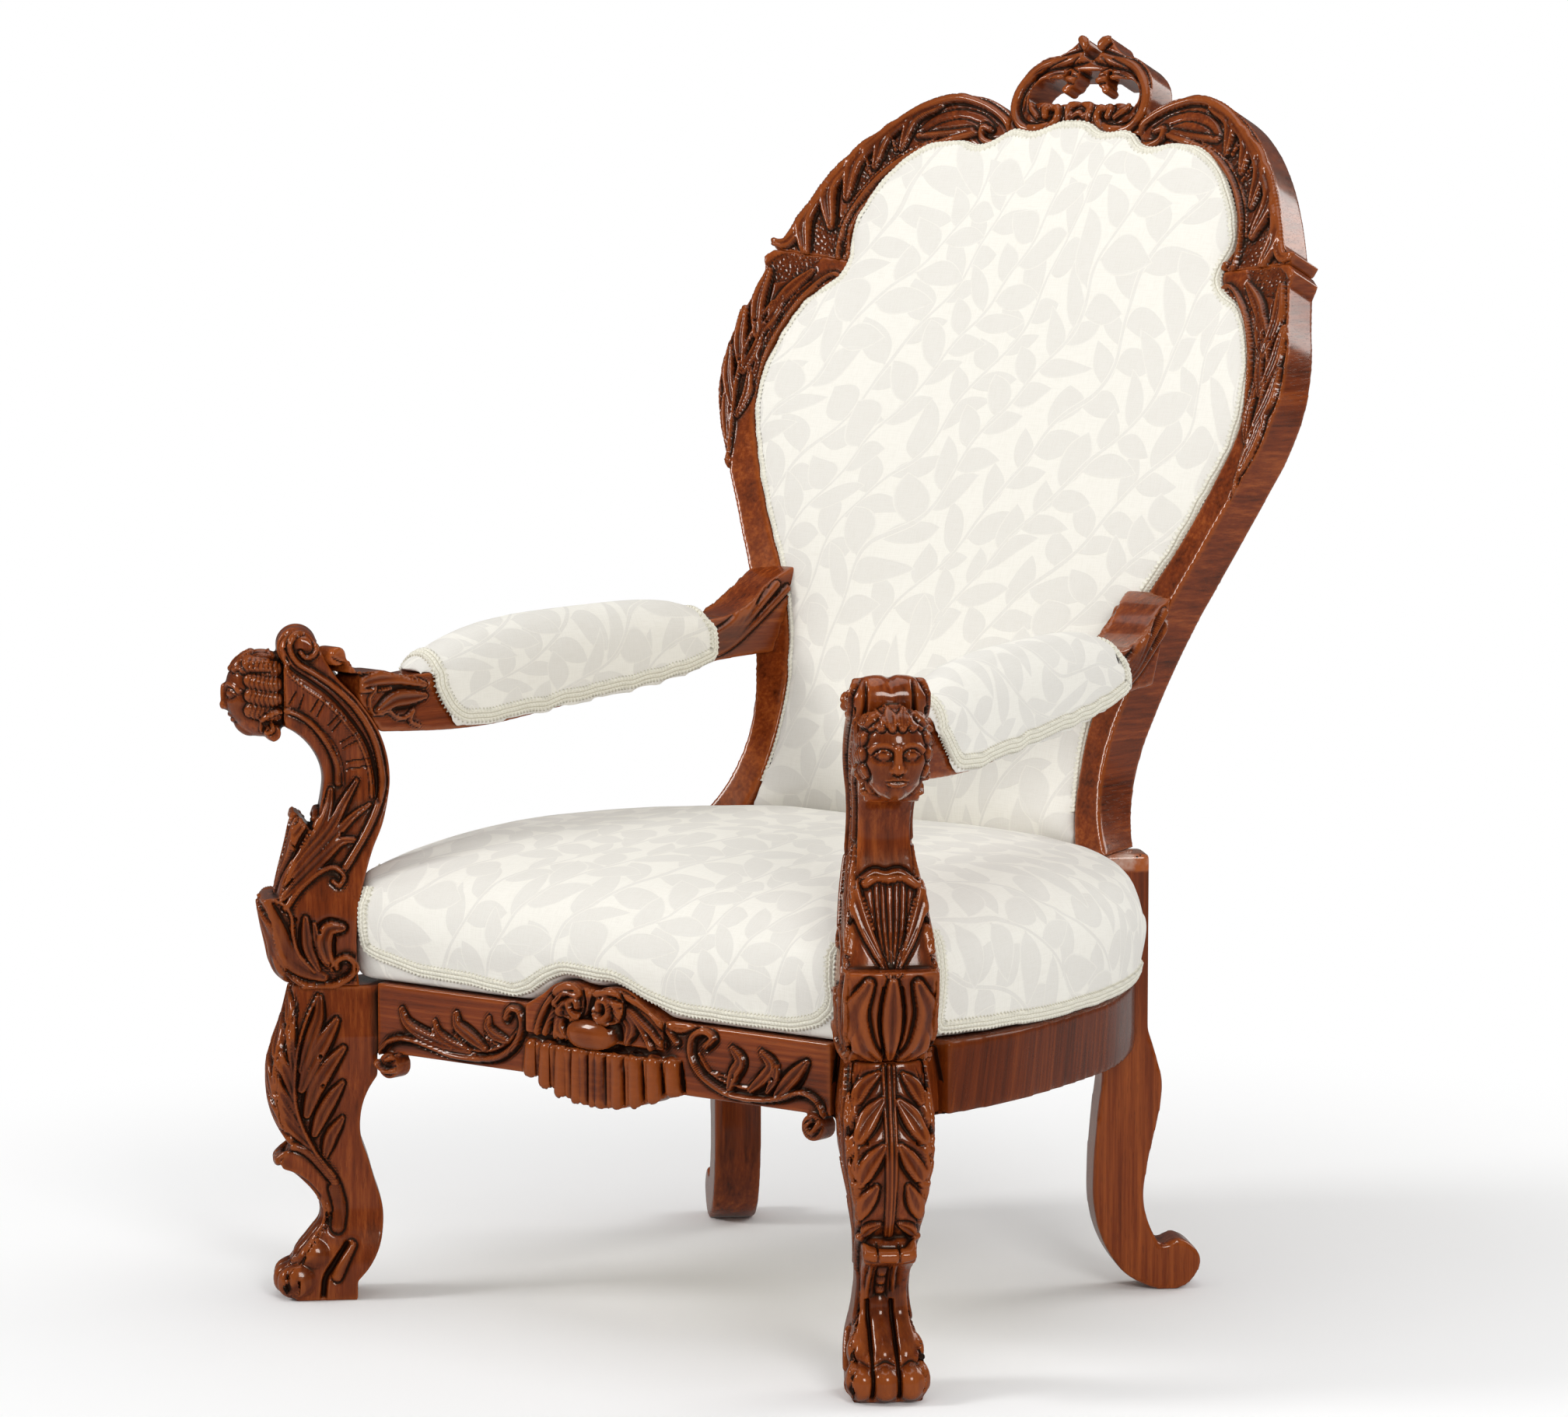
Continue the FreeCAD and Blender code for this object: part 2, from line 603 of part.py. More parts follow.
# Arms: a rail from the arm support to the stile, with a small scroll in front and a flared ear behind
ARM_UNDER_SHARES = [(-0.012, 0.047), (0.08, 0.023), (0.16, 0.01), (0.5, 0.13), (0.855, 0.33), (0.96, 0.35)]
ARM_EAR_SHARES = [(1.018, 1), (0.955, 0.875), (0.923, 0.773), (0.85, 0.656)]
ARM_FRONT_SHARES = [(0.065, 0.437), (0, 0.492), (-0.044, 0.57), (-0.06, 0.66)]
ARM_SCROLL_SHARES = (-0.077, 0.68)
ARM_PLAN_SHARES = [
    (-0.12, 0.5), (-0.06, 0.8), (0.06, 0.9), (0.45, 0.95), (0.86, 0.95),
    (0.93, 1.02), (1.02, 1.22), (1.2, 1.3),
]
PAD_SECTION_SHARES = [
    (0.16, 0, 0.065, 0.57, 0.86),
    (0.24, 0.02, 0.2, 0.86, 1),
    (0.5, 0.13, 0.5, 1, 1),
    (0.76, 0.305, 0.76, 0.94, 0.98),
    (0.855, 0.425, 0.84, 0.745, 0.86),
]
PAD_SHOULDER_SHARE = 0.55

arm_angle = math.degrees(math.atan2(mm("arm_rear_depth") - mm("arm_front_depth"),
                                    mm("arm_rear_half_spread") - mm("arm_front_half_spread")))
ON_ARM = {"x": "sizes.arm_front_half_spread", "y": "sizes.arm_front_depth - sizes.origin_depth"}


def arm_points(table):
    """Points of the arm's side view, from its front and from its lowest edge."""
    return outline_points(table, mm("arm_length"), mm("arm_rise"))


def arm(in_front, slab):
    """An arm, cut to the back of its support and to the face of its stile."""
    under, ear, front = arm_points(ARM_UNDER_SHARES), arm_points(ARM_EAR_SHARES), arm_points(ARM_FRONT_SHARES)
    far = mm("arm_length") + mm("slab_end")
    rear = [Vector(far, under[-1].y, 0), Vector(far, ear[0].y, 0)]
    nose = [Vector(front[-1].x, under[0].y, 0)]
    side = outline("arm_side", closed(under, [rear[0]], [rear[1]], ear, front, nose),
                   upright(arm_angle), z="sizes.arm_base_height", **ON_ARM)
    plan = outline_points(ARM_PLAN_SHARES, mm("arm_length"), mm("arm_half_width"))
    other = [Vector(p.x, -p.y, 0) for p in reversed(plan)]
    plan = outline("arm_plan", closed(plan, other), Rotation(Z_AXIS, arm_angle), **ON_ARM)
    blank = common("arm_blank", extruded("arm_side_solid", side, "4 * sizes.arm_half_width"),
                   extruded("arm_plan_solid", plan, "2 * sizes.overrun", symmetric=False))
    along, up = ARM_SCROLL_SHARES
    lean = math.radians(arm_angle)
    out = (f"sizes.arm_length * {along * math.cos(lean)} + sizes.arm_scroll_width / 2 * {-math.sin(lean)}",
           f"sizes.arm_length * {along * math.sin(lean)} + sizes.arm_scroll_width / 2 * {math.cos(lean)}")
    scroll = cylinder("arm_scroll", "sizes.arm_volute_radius", "sizes.arm_scroll_width", upright(arm_angle),
                      x=f"{ON_ARM['x']} + {out[0]}", y=f"{ON_ARM['y']} + {out[1]}",
                      z=f"sizes.arm_base_height + {up} * sizes.arm_rise")
    whole = fused("arm_whole", [blank, scroll])
    return cut("arm", cut("arm_to_support", whole, in_front), slab)


def pad_section(bottom_along, bottom_up, top_along, top_up, width):
    """One section of an arm pad: a flat base, upright sides and a round top."""
    half = width * mm("pad_half_width")
    low = Vector(bottom_along * mm("arm_length"), 0, bottom_up * mm("pad_height"))
    high = Vector(top_along * mm("arm_length"), 0, top_up * mm("pad_height"))
    knee = low + (high - low) * PAD_SHOULDER_SHARE
    side = Vector(0, half, 0)
    edges = [Part.LineSegment(low - side, low + side), Part.LineSegment(low + side, knee + side),
             Part.Arc(knee + side, high, knee - side), Part.LineSegment(knee - side, low - side)]
    return Part.Wire([edge.toShape() for edge in edges])


def arm_pad():
    """A crowned pad over the arm's rail, hollow underneath where the rail passes."""
    body = shape_feature("pad_body", Part.makeLoft([pad_section(*row) for row in PAD_SECTION_SHARES], True,
                                                   False))
    placed(body, Rotation(Z_AXIS, arm_angle), z="sizes.arm_base_height", **ON_ARM)
    start, end = arm_points([ARM_FRONT_SHARES[0], ARM_EAR_SHARES[-1]])
    slope = (end - start) * (mm("slab_end") / (end - start).Length)
    lift = Vector(0, mm("clearance"), 0)
    roof = [start - slope + lift, end + slope + lift]
    floor = [Vector(roof[1].x, -mm("slab_end"), 0), Vector(roof[0].x, -mm("slab_end"), 0)]
    tunnel = outline("pad_tunnel", closed([roof[0]], [roof[1]], [floor[0]], [floor[1]]), upright(arm_angle),
                     z="sizes.arm_base_height", **ON_ARM)
    return cut("arm_pad", body, extruded("pad_tunnel_solid", tunnel,
                                         "2 * (sizes.arm_half_width + sizes.clearance)"))


# Rear legs: a sawn board on the diagonal, with a scroll foot and a post up to the ledge
REAR_FRONT_SHARES = [
    (-0.2, 0), (-0.34, 0.01), (-0.59, 0.037), (-0.79, 0.083), (-0.93, 0.14),
    (-1, 0.21), (-1, 0.28), (-0.96, 0.39), (-0.9, 0.48),
]
REAR_BACK_SHARES = [
    (-0.33, 0.6), (-0.21, 0.53), (-0.145, 0.48), (-0.17, 0.42), (-0.25, 0.35),
    (-0.33, 0.28), (-0.365, 0.205), (-0.26, 0.135), (-0.145, 0.1),
]
REAR_POST_SHARE = REAR_FRONT_SHARES[-1][0]
REAR_SCROLL_SHARES = [(0.05, 0.118), (0.25, 0.1), (0.355, 0.07), (0.29, 0.03), (0.08, 0)]


def rear_leg():
    """The right rear leg."""
    reach, height = mm("rear_leg_reach"), mm("ledge_height")
    front, back, scroll = (outline_points(table, reach, height) for table in (
        REAR_FRONT_SHARES, REAR_BACK_SHARES, REAR_SCROLL_SHARES))
    top = [Vector(front[-1].x, height, 0), Vector(back[0].x, height, 0)]
    side = outline("rear_leg_side", closed(front, [top[0]], [top[1]], back, scroll), upright(-DIAGONAL),
                   x="sizes.rear_foot_half_spread", y="sizes.rear_foot_depth - sizes.origin_depth")
    board = extruded("rear_leg", side, "sizes.rear_leg_thickness", symmetric=False)
    board.Reversed = True
    return board


# Seat frame
SIDE_RAIL_SHARES = [
    (0.977, 0.192), (0.994, 0.277), (1, 0.358), (0.986, 0.487), (0.957, 0.632),
    (0.929, 0.729), (0.866, 0.84), (0.78, 0.949), (0.7, 1.03),
]
RAIL_FLOOR = {"z": "sizes.rail_bottom"}
RAIL_FACE = "sizes.front_rail_face - sizes.origin_depth"
RAIL_INSIDE = RAIL_FACE + " + sizes.rail_thickness"


def rail_line(inset):
    """The side rail's outer line, drawn in by an inset, from front to rear."""
    line = outline_points(SIDE_RAIL_SHARES, mm("seat_half_width"), mm("seat_depth"))
    front = mm("front_rail_face") + mm("block_width")
    line = drawn_in(line, inset) if inset else line
    return [Vector(p.x, (front if i == 0 else p.y) + toe_line, 0) for i, p in enumerate(line)]


def side_rail(leg_tool):
    """The bowed right side rail, cut to the rear leg."""
    outer, inner = rail_line(0), rail_line(mm("rail_thickness"))[::-1]
    plan = outline("side_rail", closed(outer, inner), **RAIL_FLOOR)
    return cut("side_rail", extruded("side_rail_solid", plan, "sizes.rail_top - sizes.rail_bottom",
                                     symmetric=False),
               leg_tool)


HEART_ROOM_SHARE = 3
LOBE_ROUND_SHARE = 0.17
HEART_SHARES = [
    (-0.85, 0), (-0.65, 0.4), (-0.45, 0.88), (-0.25, 1), (0, 0.8),
    (0.25, 1), (0.45, 0.88), (0.65, 0.4), (0.85, 0),
]


def rail_face(name, stretches):
    """A standing outline at the back of the front rail."""
    return outline(name, stretches, UPRIGHT, y=RAIL_INSIDE)


def shell_edge():
    """The shell's lower edge, one arc for each lobe, and its flat top."""
    half, count = mm("shell_half_width"), int(mm("shell_lobes"))
    step = 2 * half / count
    top = mm("rail_bottom") + mm("shell_lobe_top")

    def drop(x):
        return mm("rail_bottom") + step / 2 - (mm("shell_drop") + step / 2) * (1 - (x / half) ** 2)

    arcs = []
    for i in range(count):
        left, right = -half + i * step, -half + (i + 1) * step
        middle = (left + right) / 2
        points = [Vector(left, drop(left), 0), Vector(middle, drop(middle) - LOBE_ROUND_SHARE * step, 0),
                  Vector(right, drop(right), 0)]
        arcs.append([p + Vector(mm("shell_offset"), 0, 0) for p in points])
    corner = [Vector(arcs[-1][-1].x, top, 0), Vector(arcs[0][0].x, top, 0)]
    return arcs, [[arcs[-1][-1], corner[0]], [corner[0], corner[1]], [corner[1], arcs[0][0]]]


def front_rail():
    """The front rail with its shell, heart, boss and end scrolls."""
    bar = block("front_bar", "2 * sizes.joint_half_spread", "sizes.rail_thickness",
                "sizes.rail_top - sizes.rail_bottom",
                x="-sizes.joint_half_spread", y=RAIL_FACE, z="sizes.rail_bottom")
    arcs, lines = shell_edge()
    plan = doc.addObject("Sketcher::SketchObject", "shell_outline")
    for left, middle, right in arcs:
        plan.addGeometry(Part.Arc(left, middle, right), False)
    for start, end in lines:
        plan.addGeometry(Part.LineSegment(start, end), False)
    placed(plan, UPRIGHT, y=RAIL_INSIDE)
    plate = extruded("shell_plate", plan, "sizes.rail_thickness", symmetric=False)
    ribs = []
    for i, (left, middle, right) in enumerate(arcs):
        share = (2 * i + 1) / len(arcs) - 1
        ribs.append(cylinder("shell_rib", "sizes.shell_rib_radius", "sizes.overrun", Rotation(),
                             x=f"sizes.shell_offset + {share} * sizes.shell_half_width",
                             y=f"{RAIL_FACE} + {share * share} * sizes.shell_lobe_bow"))
    proud = extruded("shell_proud", plan, "sizes.overrun", symmetric=False)
    shell = common("shell", fused("shell_ribs", ribs), proud)
    across = mm("shell_half_width")
    heart_top = [Vector(a * across, mm("rail_top") + b * mm("heart_rise"), 0) for a, b in HEART_SHARES]
    base = mm("rail_top") - mm("heart_rise")
    heart = rail_face("heart", closed(heart_top, [Vector(heart_top[-1].x, base, 0)],
                                      [Vector(heart_top[0].x, base, 0)]))
    heart = extruded("heart_plate", heart, "sizes.rail_thickness + sizes.heart_relief / 2", symmetric=False)
    pieces = [bar, plate, shell, heart]
    for side in (-1, 1):
        pieces.append(cylinder("heart_volute", "sizes.heart_radius",
                               "sizes.rail_thickness + sizes.heart_relief",
                               UPRIGHT, x=f"{side} * sizes.heart_spread", y=RAIL_INSIDE,
                               z="sizes.rail_top + sizes.heart_rise - sizes.heart_radius"))
        pieces.append(cylinder("end_volute", "sizes.end_volute_radius",
                               "(sizes.rail_thickness + sizes.heart_relief) / 2", UPRIGHT,
                               x=f"{side} * (sizes.joint_half_spread - sizes.end_volute_inset)",
                               y=RAIL_FACE + " + sizes.rail_thickness / 2", z="sizes.end_volute_height"))
    boss = doc.addObject("Part::Ellipsoid", "boss")
    boss.setExpression("Radius1", "sizes.oval_half_height")
    boss.setExpression("Radius2", "sizes.oval_half_width")
    boss.setExpression("Radius3", "sizes.heart_relief")
    placed(boss, Rotation(), y=RAIL_FACE, z="sizes.oval_height")
    return fused("front_rail", pieces + [boss])


def rear_rail(legs):
    """The straight rear rail, between the two rear legs."""
    bar = block("rear_bar", "2 * sizes.rear_rail_half_length", "sizes.rail_thickness",
                "sizes.rail_top - sizes.rail_bottom",
                x="-sizes.rear_rail_half_length", y="sizes.rear_rail_face - sizes.origin_depth",
                z="sizes.rail_bottom")
    return cut("rear_rail", bar, legs)


def seat_inside(inset, rear):
    """The opening inside the seat rails, as a flat outline: inset from the side rail's outer line."""
    near = mm("front_rail_face") + mm("rail_thickness") + mm("clearance") + toe_line
    corner = mm("front_rail_face") + mm("block_width") + mm("clearance") + toe_line
    inner = mm("joint_half_spread") - mm("clearance")
    side = rail_line(inset)[:6]
    side = [Vector(p.x, max(p.y, corner), 0) for p in side]
    tail = Vector(mm("rear_rail_half_length") - mm("rail_thickness") / 2, rear + toe_line, 0)
    right = chain([Vector(0, near, 0)], [Vector(inner, near, 0)], [Vector(inner, corner, 0)], side, [tail],
                  [Vector(0, tail.y, 0)])
    return right + flipped(right)


def gussets(rail, leg):
    """Glue blocks in the right front and right rear corners of the seat frame."""
    near = mm("front_rail_face") + mm("rail_thickness") + mm("clearance") + toe_line
    corner = mm("front_rail_face") + mm("block_width") + mm("clearance") + toe_line
    inner, reach = mm("joint_half_spread") - mm("clearance"), mm("gusset_reach")
    outer = mm("joint_half_spread") + mm("block_width")
    front = [Vector(inner - reach, near, 0), Vector(inner, near, 0), Vector(inner, corner, 0),
             Vector(outer, corner, 0), Vector(outer, corner + reach, 0)]
    rear_line = mm("rear_rail_face") - mm("clearance") + toe_line
    half = mm("rear_rail_half_length")
    side = rail_line(mm("rail_thickness") / 2)[-3:]
    rear = [Vector(half - reach, rear_line, 0), Vector(side[-1].x, rear_line, 0),
            Vector(side[0].x, side[0].y, 0)]
    blocks = []
    for name, corners in (("front_gusset", front), ("rear_gusset", rear)):
        plan = outline(name, closed(*[[p] for p in corners]),
                       z="(sizes.rail_bottom + sizes.rail_top - sizes.gusset_height) / 2")
        solid = extruded(name + "_solid", plan, "sizes.gusset_height", symmetric=False)
        blocks.append(cut(name + "_cut", solid, fused(name + "_tools", [rail, leg])))
    return blocks


# Soft parts and cloths
SEAT_LEVEL_SHARES = [
    (0, -0.002, 1.003, 0.75, 1),
    (0.36, -0.022, 1.02, 0.78, 1),
    (0.67, -0.004, 1.005, 0.76, 1),
    (0.81, 0.06, 0.955, 0.7, 0.99),
    (0.885, 0.14, 0.885, 0.62, 0.98),
    (0.96, 0.31, 0.62, 0.42, 0.93),
    (1, 0.44, 0.33, 0.22, 0.86),
]
SEAT_FRONT_HALF_SHARE = 0.86
SEAT_WIDEST_SHARE = 0.36
CUSHION_STATION_SHARES = [
    (-0.045, 0.64, 0.5), (0.13, 0.6, 1), (0.33, 0.78, 1), (0.52, 0.91, 1), (0.68, 0.78, 1),
    (0.8, 0.72, 0.8), (0.9, 0.5, 0.15),
]


def seat_level(up, front, widest, rear_width, rear):
    """One level outline of the seat cushion."""
    half, depth = mm("seat_half_width"), mm("rear_rail_face") - mm("front_rail_face")
    z = mm("rail_top") + mm("clearance") + up * mm("stuffing_height")
    y_front = mm("front_rail_face") + front * depth + toe_line
    y_rear = mm("front_rail_face") + rear * depth + toe_line
    y_corner = y_front + (y_rear - y_front) * (1 - rear)
    wide = widest * half
    near = wide * SEAT_FRONT_HALF_SHARE
    y_wide = y_front + (y_rear - y_front) * SEAT_WIDEST_SHARE
    a, b, c = Vector(-near, y_corner, z), Vector(0, y_front - mm("clearance"), z), Vector(near, y_corner, z)
    d, e = Vector(wide, y_wide, z), Vector(rear_width * half, y_rear, z)
    f, g = Vector(-e.x, e.y, z), Vector(-d.x, d.y, z)
    edges = [Part.Arc(a, b, c), Part.Arc(c, d, e), Part.LineSegment(e, f), Part.Arc(f, g, a)]
    return Part.Wire([edge.toShape() for edge in edges])


def seat_cushion(tools):
    """The crowned seat, cut round the arm supports, the rear posts, the back and the heart."""
    levels = [seat_level(*row) for row in SEAT_LEVEL_SHARES]
    body = shape_feature("seat_body", Part.makeLoft(levels, True, False))
    return body, cut("seat_cushion", body, fused("seat_tools", tools))


def cushion_station(along, wide, crown):
    """One section across the back cushion, from its crowned face to its flat back."""
    half, y = wide * mm("back_half_width"), along * mm("back_length")
    edge = barrel_arc(half, 0)[2].z
    rear = barrel_arc(half, CUSHION_BACK_SHARE * thickness_at(y))
    a, b, c = Vector(-half, y, edge), Vector(0, y, crown * mm("cushion_crown")), Vector(half, y, edge)
    d, e, f = lifted(rear, y)
    edges = [Part.Arc(a, b, c), Part.LineSegment(c, f), Part.Arc(f, e, d), Part.LineSegment(d, a)]
    return Part.Wire([edge.toShape() for edge in edges])


def back_cushion(seat_body, opening):
    """The crowned back cushion, inside the frame's opening and above the seat."""
    stations = [cushion_station(*row) for row in CUSHION_STATION_SHARES]
    body = placed(shape_feature("cushion_body", Part.makeLoft(stations, True, False)), RAKED, **BACK_PLACE)
    inside = common("cushion_inside", body, opening)
    seat_top = shape_feature("seat_top", seat_body.Shape)
    seat_top.setExpression("Placement.Base.z", "sizes.clearance")
    return cut("back_cushion", inside, seat_top)


def band(name, across, along, width, length):
    """A straight band of webbing, as a raked outline from its middle."""
    x, y = width / 2, length / 2
    corners = [Vector(across + x, along - y, 0), Vector(across + x, along + y, 0),
               Vector(across - x, along + y, 0), Vector(across - x, along - y, 0)]
    return raked_solid(name, closed(*[[p] for p in corners]))


def back_cloths(opening):
    """Webbing behind the back cushion, and the cloth that closes the back."""
    width, step = mm("web_width"), mm("web_spacing")
    length, half = mm("back_length"), mm("back_half_width")
    bands = [band("back_web", i * step, length / 2, width, length) for i in (-1, 0, 1)]
    rows = int(length // step) - 2
    bands += [band("back_web", 0, (i + 1) * step, 2 * half, width) for i in range(rows)]
    layer = back_layer("web_layer", BACK_WEB_SHARE, BACK_WEB_SHARE, back_extra=mm("web_thickness"))
    web = common("back_webbing", common("web_bands", fused("web_grid", bands), layer), opening)
    skin = back_layer("skin_layer", OUTSIDE_BACK_SHARE, OUTSIDE_BACK_SHARE, back_extra=mm("cloth_thickness"))
    cloth = common("outside_back", skin, opening)
    return web, cloth


def seat_cloths(sides):
    """Webbing and platform cloth inside the seat frame, and the undercloth below it."""
    inset = mm("rail_thickness") + mm("clearance")
    inside = outline("seat_inside", seat_inside(inset, mm("rear_rail_face") - mm("clearance")),
                     z="sizes.rail_top - sizes.cloth_thickness")
    platform = extruded("seat_platform", inside, "sizes.cloth_thickness", symmetric=False)
    inside_low = outline("web_inside", seat_inside(inset, mm("rear_rail_face") - mm("clearance")), z="0")
    prism = extruded("web_prism", inside_low, "sizes.rail_top", symmetric=False)
    step = mm("web_spacing")
    depth = mm("rear_rail_face") - mm("front_rail_face")
    bands = []
    level = "sizes.rail_top - sizes.cloth_thickness - sizes.web_thickness"
    columns, rows = int(2 * mm("seat_half_width") // step) - 1, int(depth // step) - 1
    for i in range(columns):
        bands.append(block("seat_web", "sizes.web_width", "2 * sizes.overrun", "sizes.web_thickness",
                           x=f"{i - (columns - 1) / 2} * sizes.web_spacing - sizes.web_width / 2",
                           y="-sizes.overrun", z=level))
    for i in range(rows):
        bands.append(block("seat_web", "2 * sizes.overrun", "sizes.web_width", "sizes.web_thickness",
                           x="-sizes.overrun", y=f"{RAIL_FACE} + {i + 1} * sizes.web_spacing", z=level))
    web = common("seat_webbing", fused("seat_web_grid", bands), prism)
    under = outline("undercloth", seat_inside(mm("rail_thickness") / 2,
                                              mm("rear_rail_face") + mm("rail_thickness") / 2),
                    z="sizes.rail_bottom - sizes.cloth_thickness")
    cloth = cut("dust_cover", extruded("undercloth_solid", under, "sizes.cloth_thickness",
                                       symmetric=False), sides)
    return platform, web, cloth


# Sleeves: room left in the seat cushion for what stands in it
def support_sleeve(name, inset, width):
    """Everything from the back edge of an arm support forward, this wide."""
    back = outline_points(SUPPORT_BACK_SHARES, mm("support_reach"), mm("support_height"))
    back = drawn_in(back, inset)
    far, low, high = mm("overrun"), -mm("support_half_width"), mm("support_height") + mm("support_reach")
    corners = [Vector(back[-1].x, low, 0), Vector(far, low, 0), Vector(far, high, 0),
               Vector(back[0].x, high, 0)]
    side = outline(name, closed(back, *[[p] for p in corners]), upright(DIAGONAL), z="sizes.leg_height",
                   **ON_TOE)
    return extruded(name + "_solid", side, width)


def heart_sleeve():
    """Room above the heart of the front rail."""
    across = mm("shell_half_width")
    top = [Vector(a * across, mm("rail_top") + b * mm("heart_rise"), 0) for a, b in HEART_SHARES]
    top = drawn_in(top, HEART_ROOM_SHARE * mm("clearance"))
    low = mm("rail_bottom")
    edge = closed(top, [Vector(top[-1].x, low, 0)], [Vector(top[0].x, low, 0)])
    sketch = outline("heart_room", edge, UPRIGHT,
                     y=RAIL_INSIDE + " + sizes.clearance")
    return extruded("heart_sleeve", sketch, "sizes.overrun", symmetric=False)


# Dowels
def dowel_group(name, places, owners):
    """Dowels at the right side's places, their twins, and the owners with holes for them."""
    bars, holes = [], []
    for turn, place in places:
        bars.append(cylinder(f"{name}_bar", "sizes.dowel_radius", "sizes.dowel_length", turn, **place))
        holes.append(cylinder(f"{name}_hole", "sizes.dowel_radius + sizes.clearance", "sizes.dowel_length",
                              turn, **place))
    right = fused(name + "_right_set", bars) if len(bars) > 1 else bars[0]
    hole_set = fused(name + "_holes", holes) if len(holes) > 1 else holes[0]
    both = fused(name + "_both_holes", [hole_set, mirrored(name + "_left_holes", hole_set)])
    drilled = [cut(owner.Name + "_" + name, owner, both) for owner in owners]
    pins = fused(name, [right, mirrored(name + "_left_set", right)])
    return pins, drilled


ACROSS = Rotation(Vector(0, 1, 0), 90)
FROM_FRONT = Rotation(X_AXIS, -90)
rail_middle = "(sizes.rail_bottom + sizes.rail_top) / 2"

leg, support = front_leg(), arm_support()
stile, shoulder, crest, lower_rail = back_frame()
hind_leg = rear_leg()
side_bar = side_rail(hind_leg)
front_bar = front_rail()
hind_legs = fused("rear_legs_tool", [hind_leg, mirrored("rear_leg_tool", hind_leg)])
rear_bar = rear_rail(hind_legs)
corner_blocks = gussets(side_bar, hind_leg)

front_places = [(ACROSS, {"x": "sizes.joint_half_spread - sizes.dowel_length / 2",
                          "y": RAIL_FACE + " + sizes.rail_thickness / 2",
                          "z": f"{rail_middle} + {side} * sizes.dowel_spacing / 2"}) for side in (-1, 1)]
side_places = [(FROM_FRONT, {"x": "sizes.seat_half_width - sizes.rail_thickness",
                             "y": RAIL_FACE + " + sizes.block_width - sizes.dowel_length / 2",
                             "z": f"{rail_middle} + {side} * sizes.dowel_spacing / 2"}) for side in (-1, 1)]
rail_dowels, (front_bar, side_bar, leg) = dowel_group("rail_dowels", front_places + side_places,
                                                      [front_bar, side_bar, leg])
post_places = [(Rotation(), {"z": "sizes.leg_height - sizes.dowel_length / 2",
                             **diagonal_place(f"-{POST_DOWEL_SHARE} * sizes.support_reach")})]
post_dowels, (leg, support) = dowel_group("arm_support_dowels", post_places, [leg, support])

slab_front = back_layer("slab_front", 0, 1, front_extra=-mm("clearance"), back_extra=mm("overrun"))
arm_piece = arm(support_sleeve("arm_front", 0, "2 * sizes.overrun"),
                back_layer("arm_stop", 0, 1, back_extra=mm("overrun")))
pad = arm_pad()

sleeve = support_sleeve("seat_room", -mm("clearance"), "2 * (sizes.support_half_width + sizes.clearance)")
post_sleeve = block("post_sleeve", "sizes.overrun", "sizes.rear_leg_thickness + 2 * sizes.clearance",
                    "2 * sizes.overrun")
post_front = f"{REAR_POST_SHARE} * sizes.rear_leg_reach"
placed(post_sleeve, Rotation(Z_AXIS, -DIAGONAL),
       x=f"sizes.rear_foot_half_spread + {post_front} / sqrt(2)",
       y=f"sizes.rear_foot_depth - sizes.origin_depth + ({post_front} - 2 * sizes.clearance) / sqrt(2)")
tools = [sleeve, mirrored("sleeve_left", sleeve), post_sleeve, mirrored("post_sleeve_left", post_sleeve),
         slab_front, heart_sleeve()]
doc.recompute()
seat_body, seat = seat_cushion(tools)
opening = raked_solid("opening", opening_stretches(mm("clearance")))
cushion = back_cushion(seat_body, opening)
opening_above = cut("opening_above", raked_solid("opening_cloth",
                                                 opening_stretches(mm("clearance"), straight=True)),
                    band("rail_zone", 0, -mm("slab_end"), 2 * mm("back_half_width"),
                         2 * (mm("bottom_rail_height") + mm("slab_end") + mm("clearance"))))
webbing, outside = back_cloths(opening_above)
platform, seat_web, dust_cover = seat_cloths(hind_legs)

pair("front_leg", leg)
pair("arm_support", support)
pair("arm", arm_piece)
pair("arm_pad", pad)
pair("side_rail", side_bar)
pair("rear_leg", hind_leg)
pair("back_stile", stile)
pair("back_shoulder", shoulder)
node("back_crest", crest)
node("back_lower_rail", lower_rail)
node("front_rail", front_bar)
node("rear_rail", rear_bar)
for name, feature in zip(("front_corner_block", "rear_corner_block"), corner_blocks):
    pair(name, feature)
node("rail_dowels", rail_dowels)
node("arm_support_dowels", post_dowels)
node("seat_platform_cloth", platform)
node("seat_webbing", seat_web)
node("seat_cushion", seat)
node("undercloth", dust_cover)
node("back_cushion", cushion)
node("back_webbing", webbing)
node("outside_back_cloth", outside)
doc.recompute()

failed = [thing.Name for thing in doc.Objects if "Invalid" in thing.State or "Error" in thing.State]
if failed:
    raise RuntimeError(f"objects that failed: {failed}")
for name, feature in NODES.items():
    shape = feature.Shape
    if shape.isNull() or not shape.isValid() or shape.Volume <= 0:
        raise RuntimeError(f"{name} has no valid solid")
    shape.exportStep(f"parts/{name}.step")
    print(name, len(shape.Solids), "solids,", round(shape.Volume / 1000), "cubic cm")
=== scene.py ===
"""Carved open armchair: its carving, stuffed covers, trims, finishes and studio."""

import logging
import math
from dataclasses import dataclass, field
from enum import Enum
from typing import Callable, Iterable, Sequence

import bmesh
import bpy
import numpy as np
from mathutils import Matrix, Vector
from mathutils.bvhtree import BVHTree
from mathutils.kdtree import KDTree


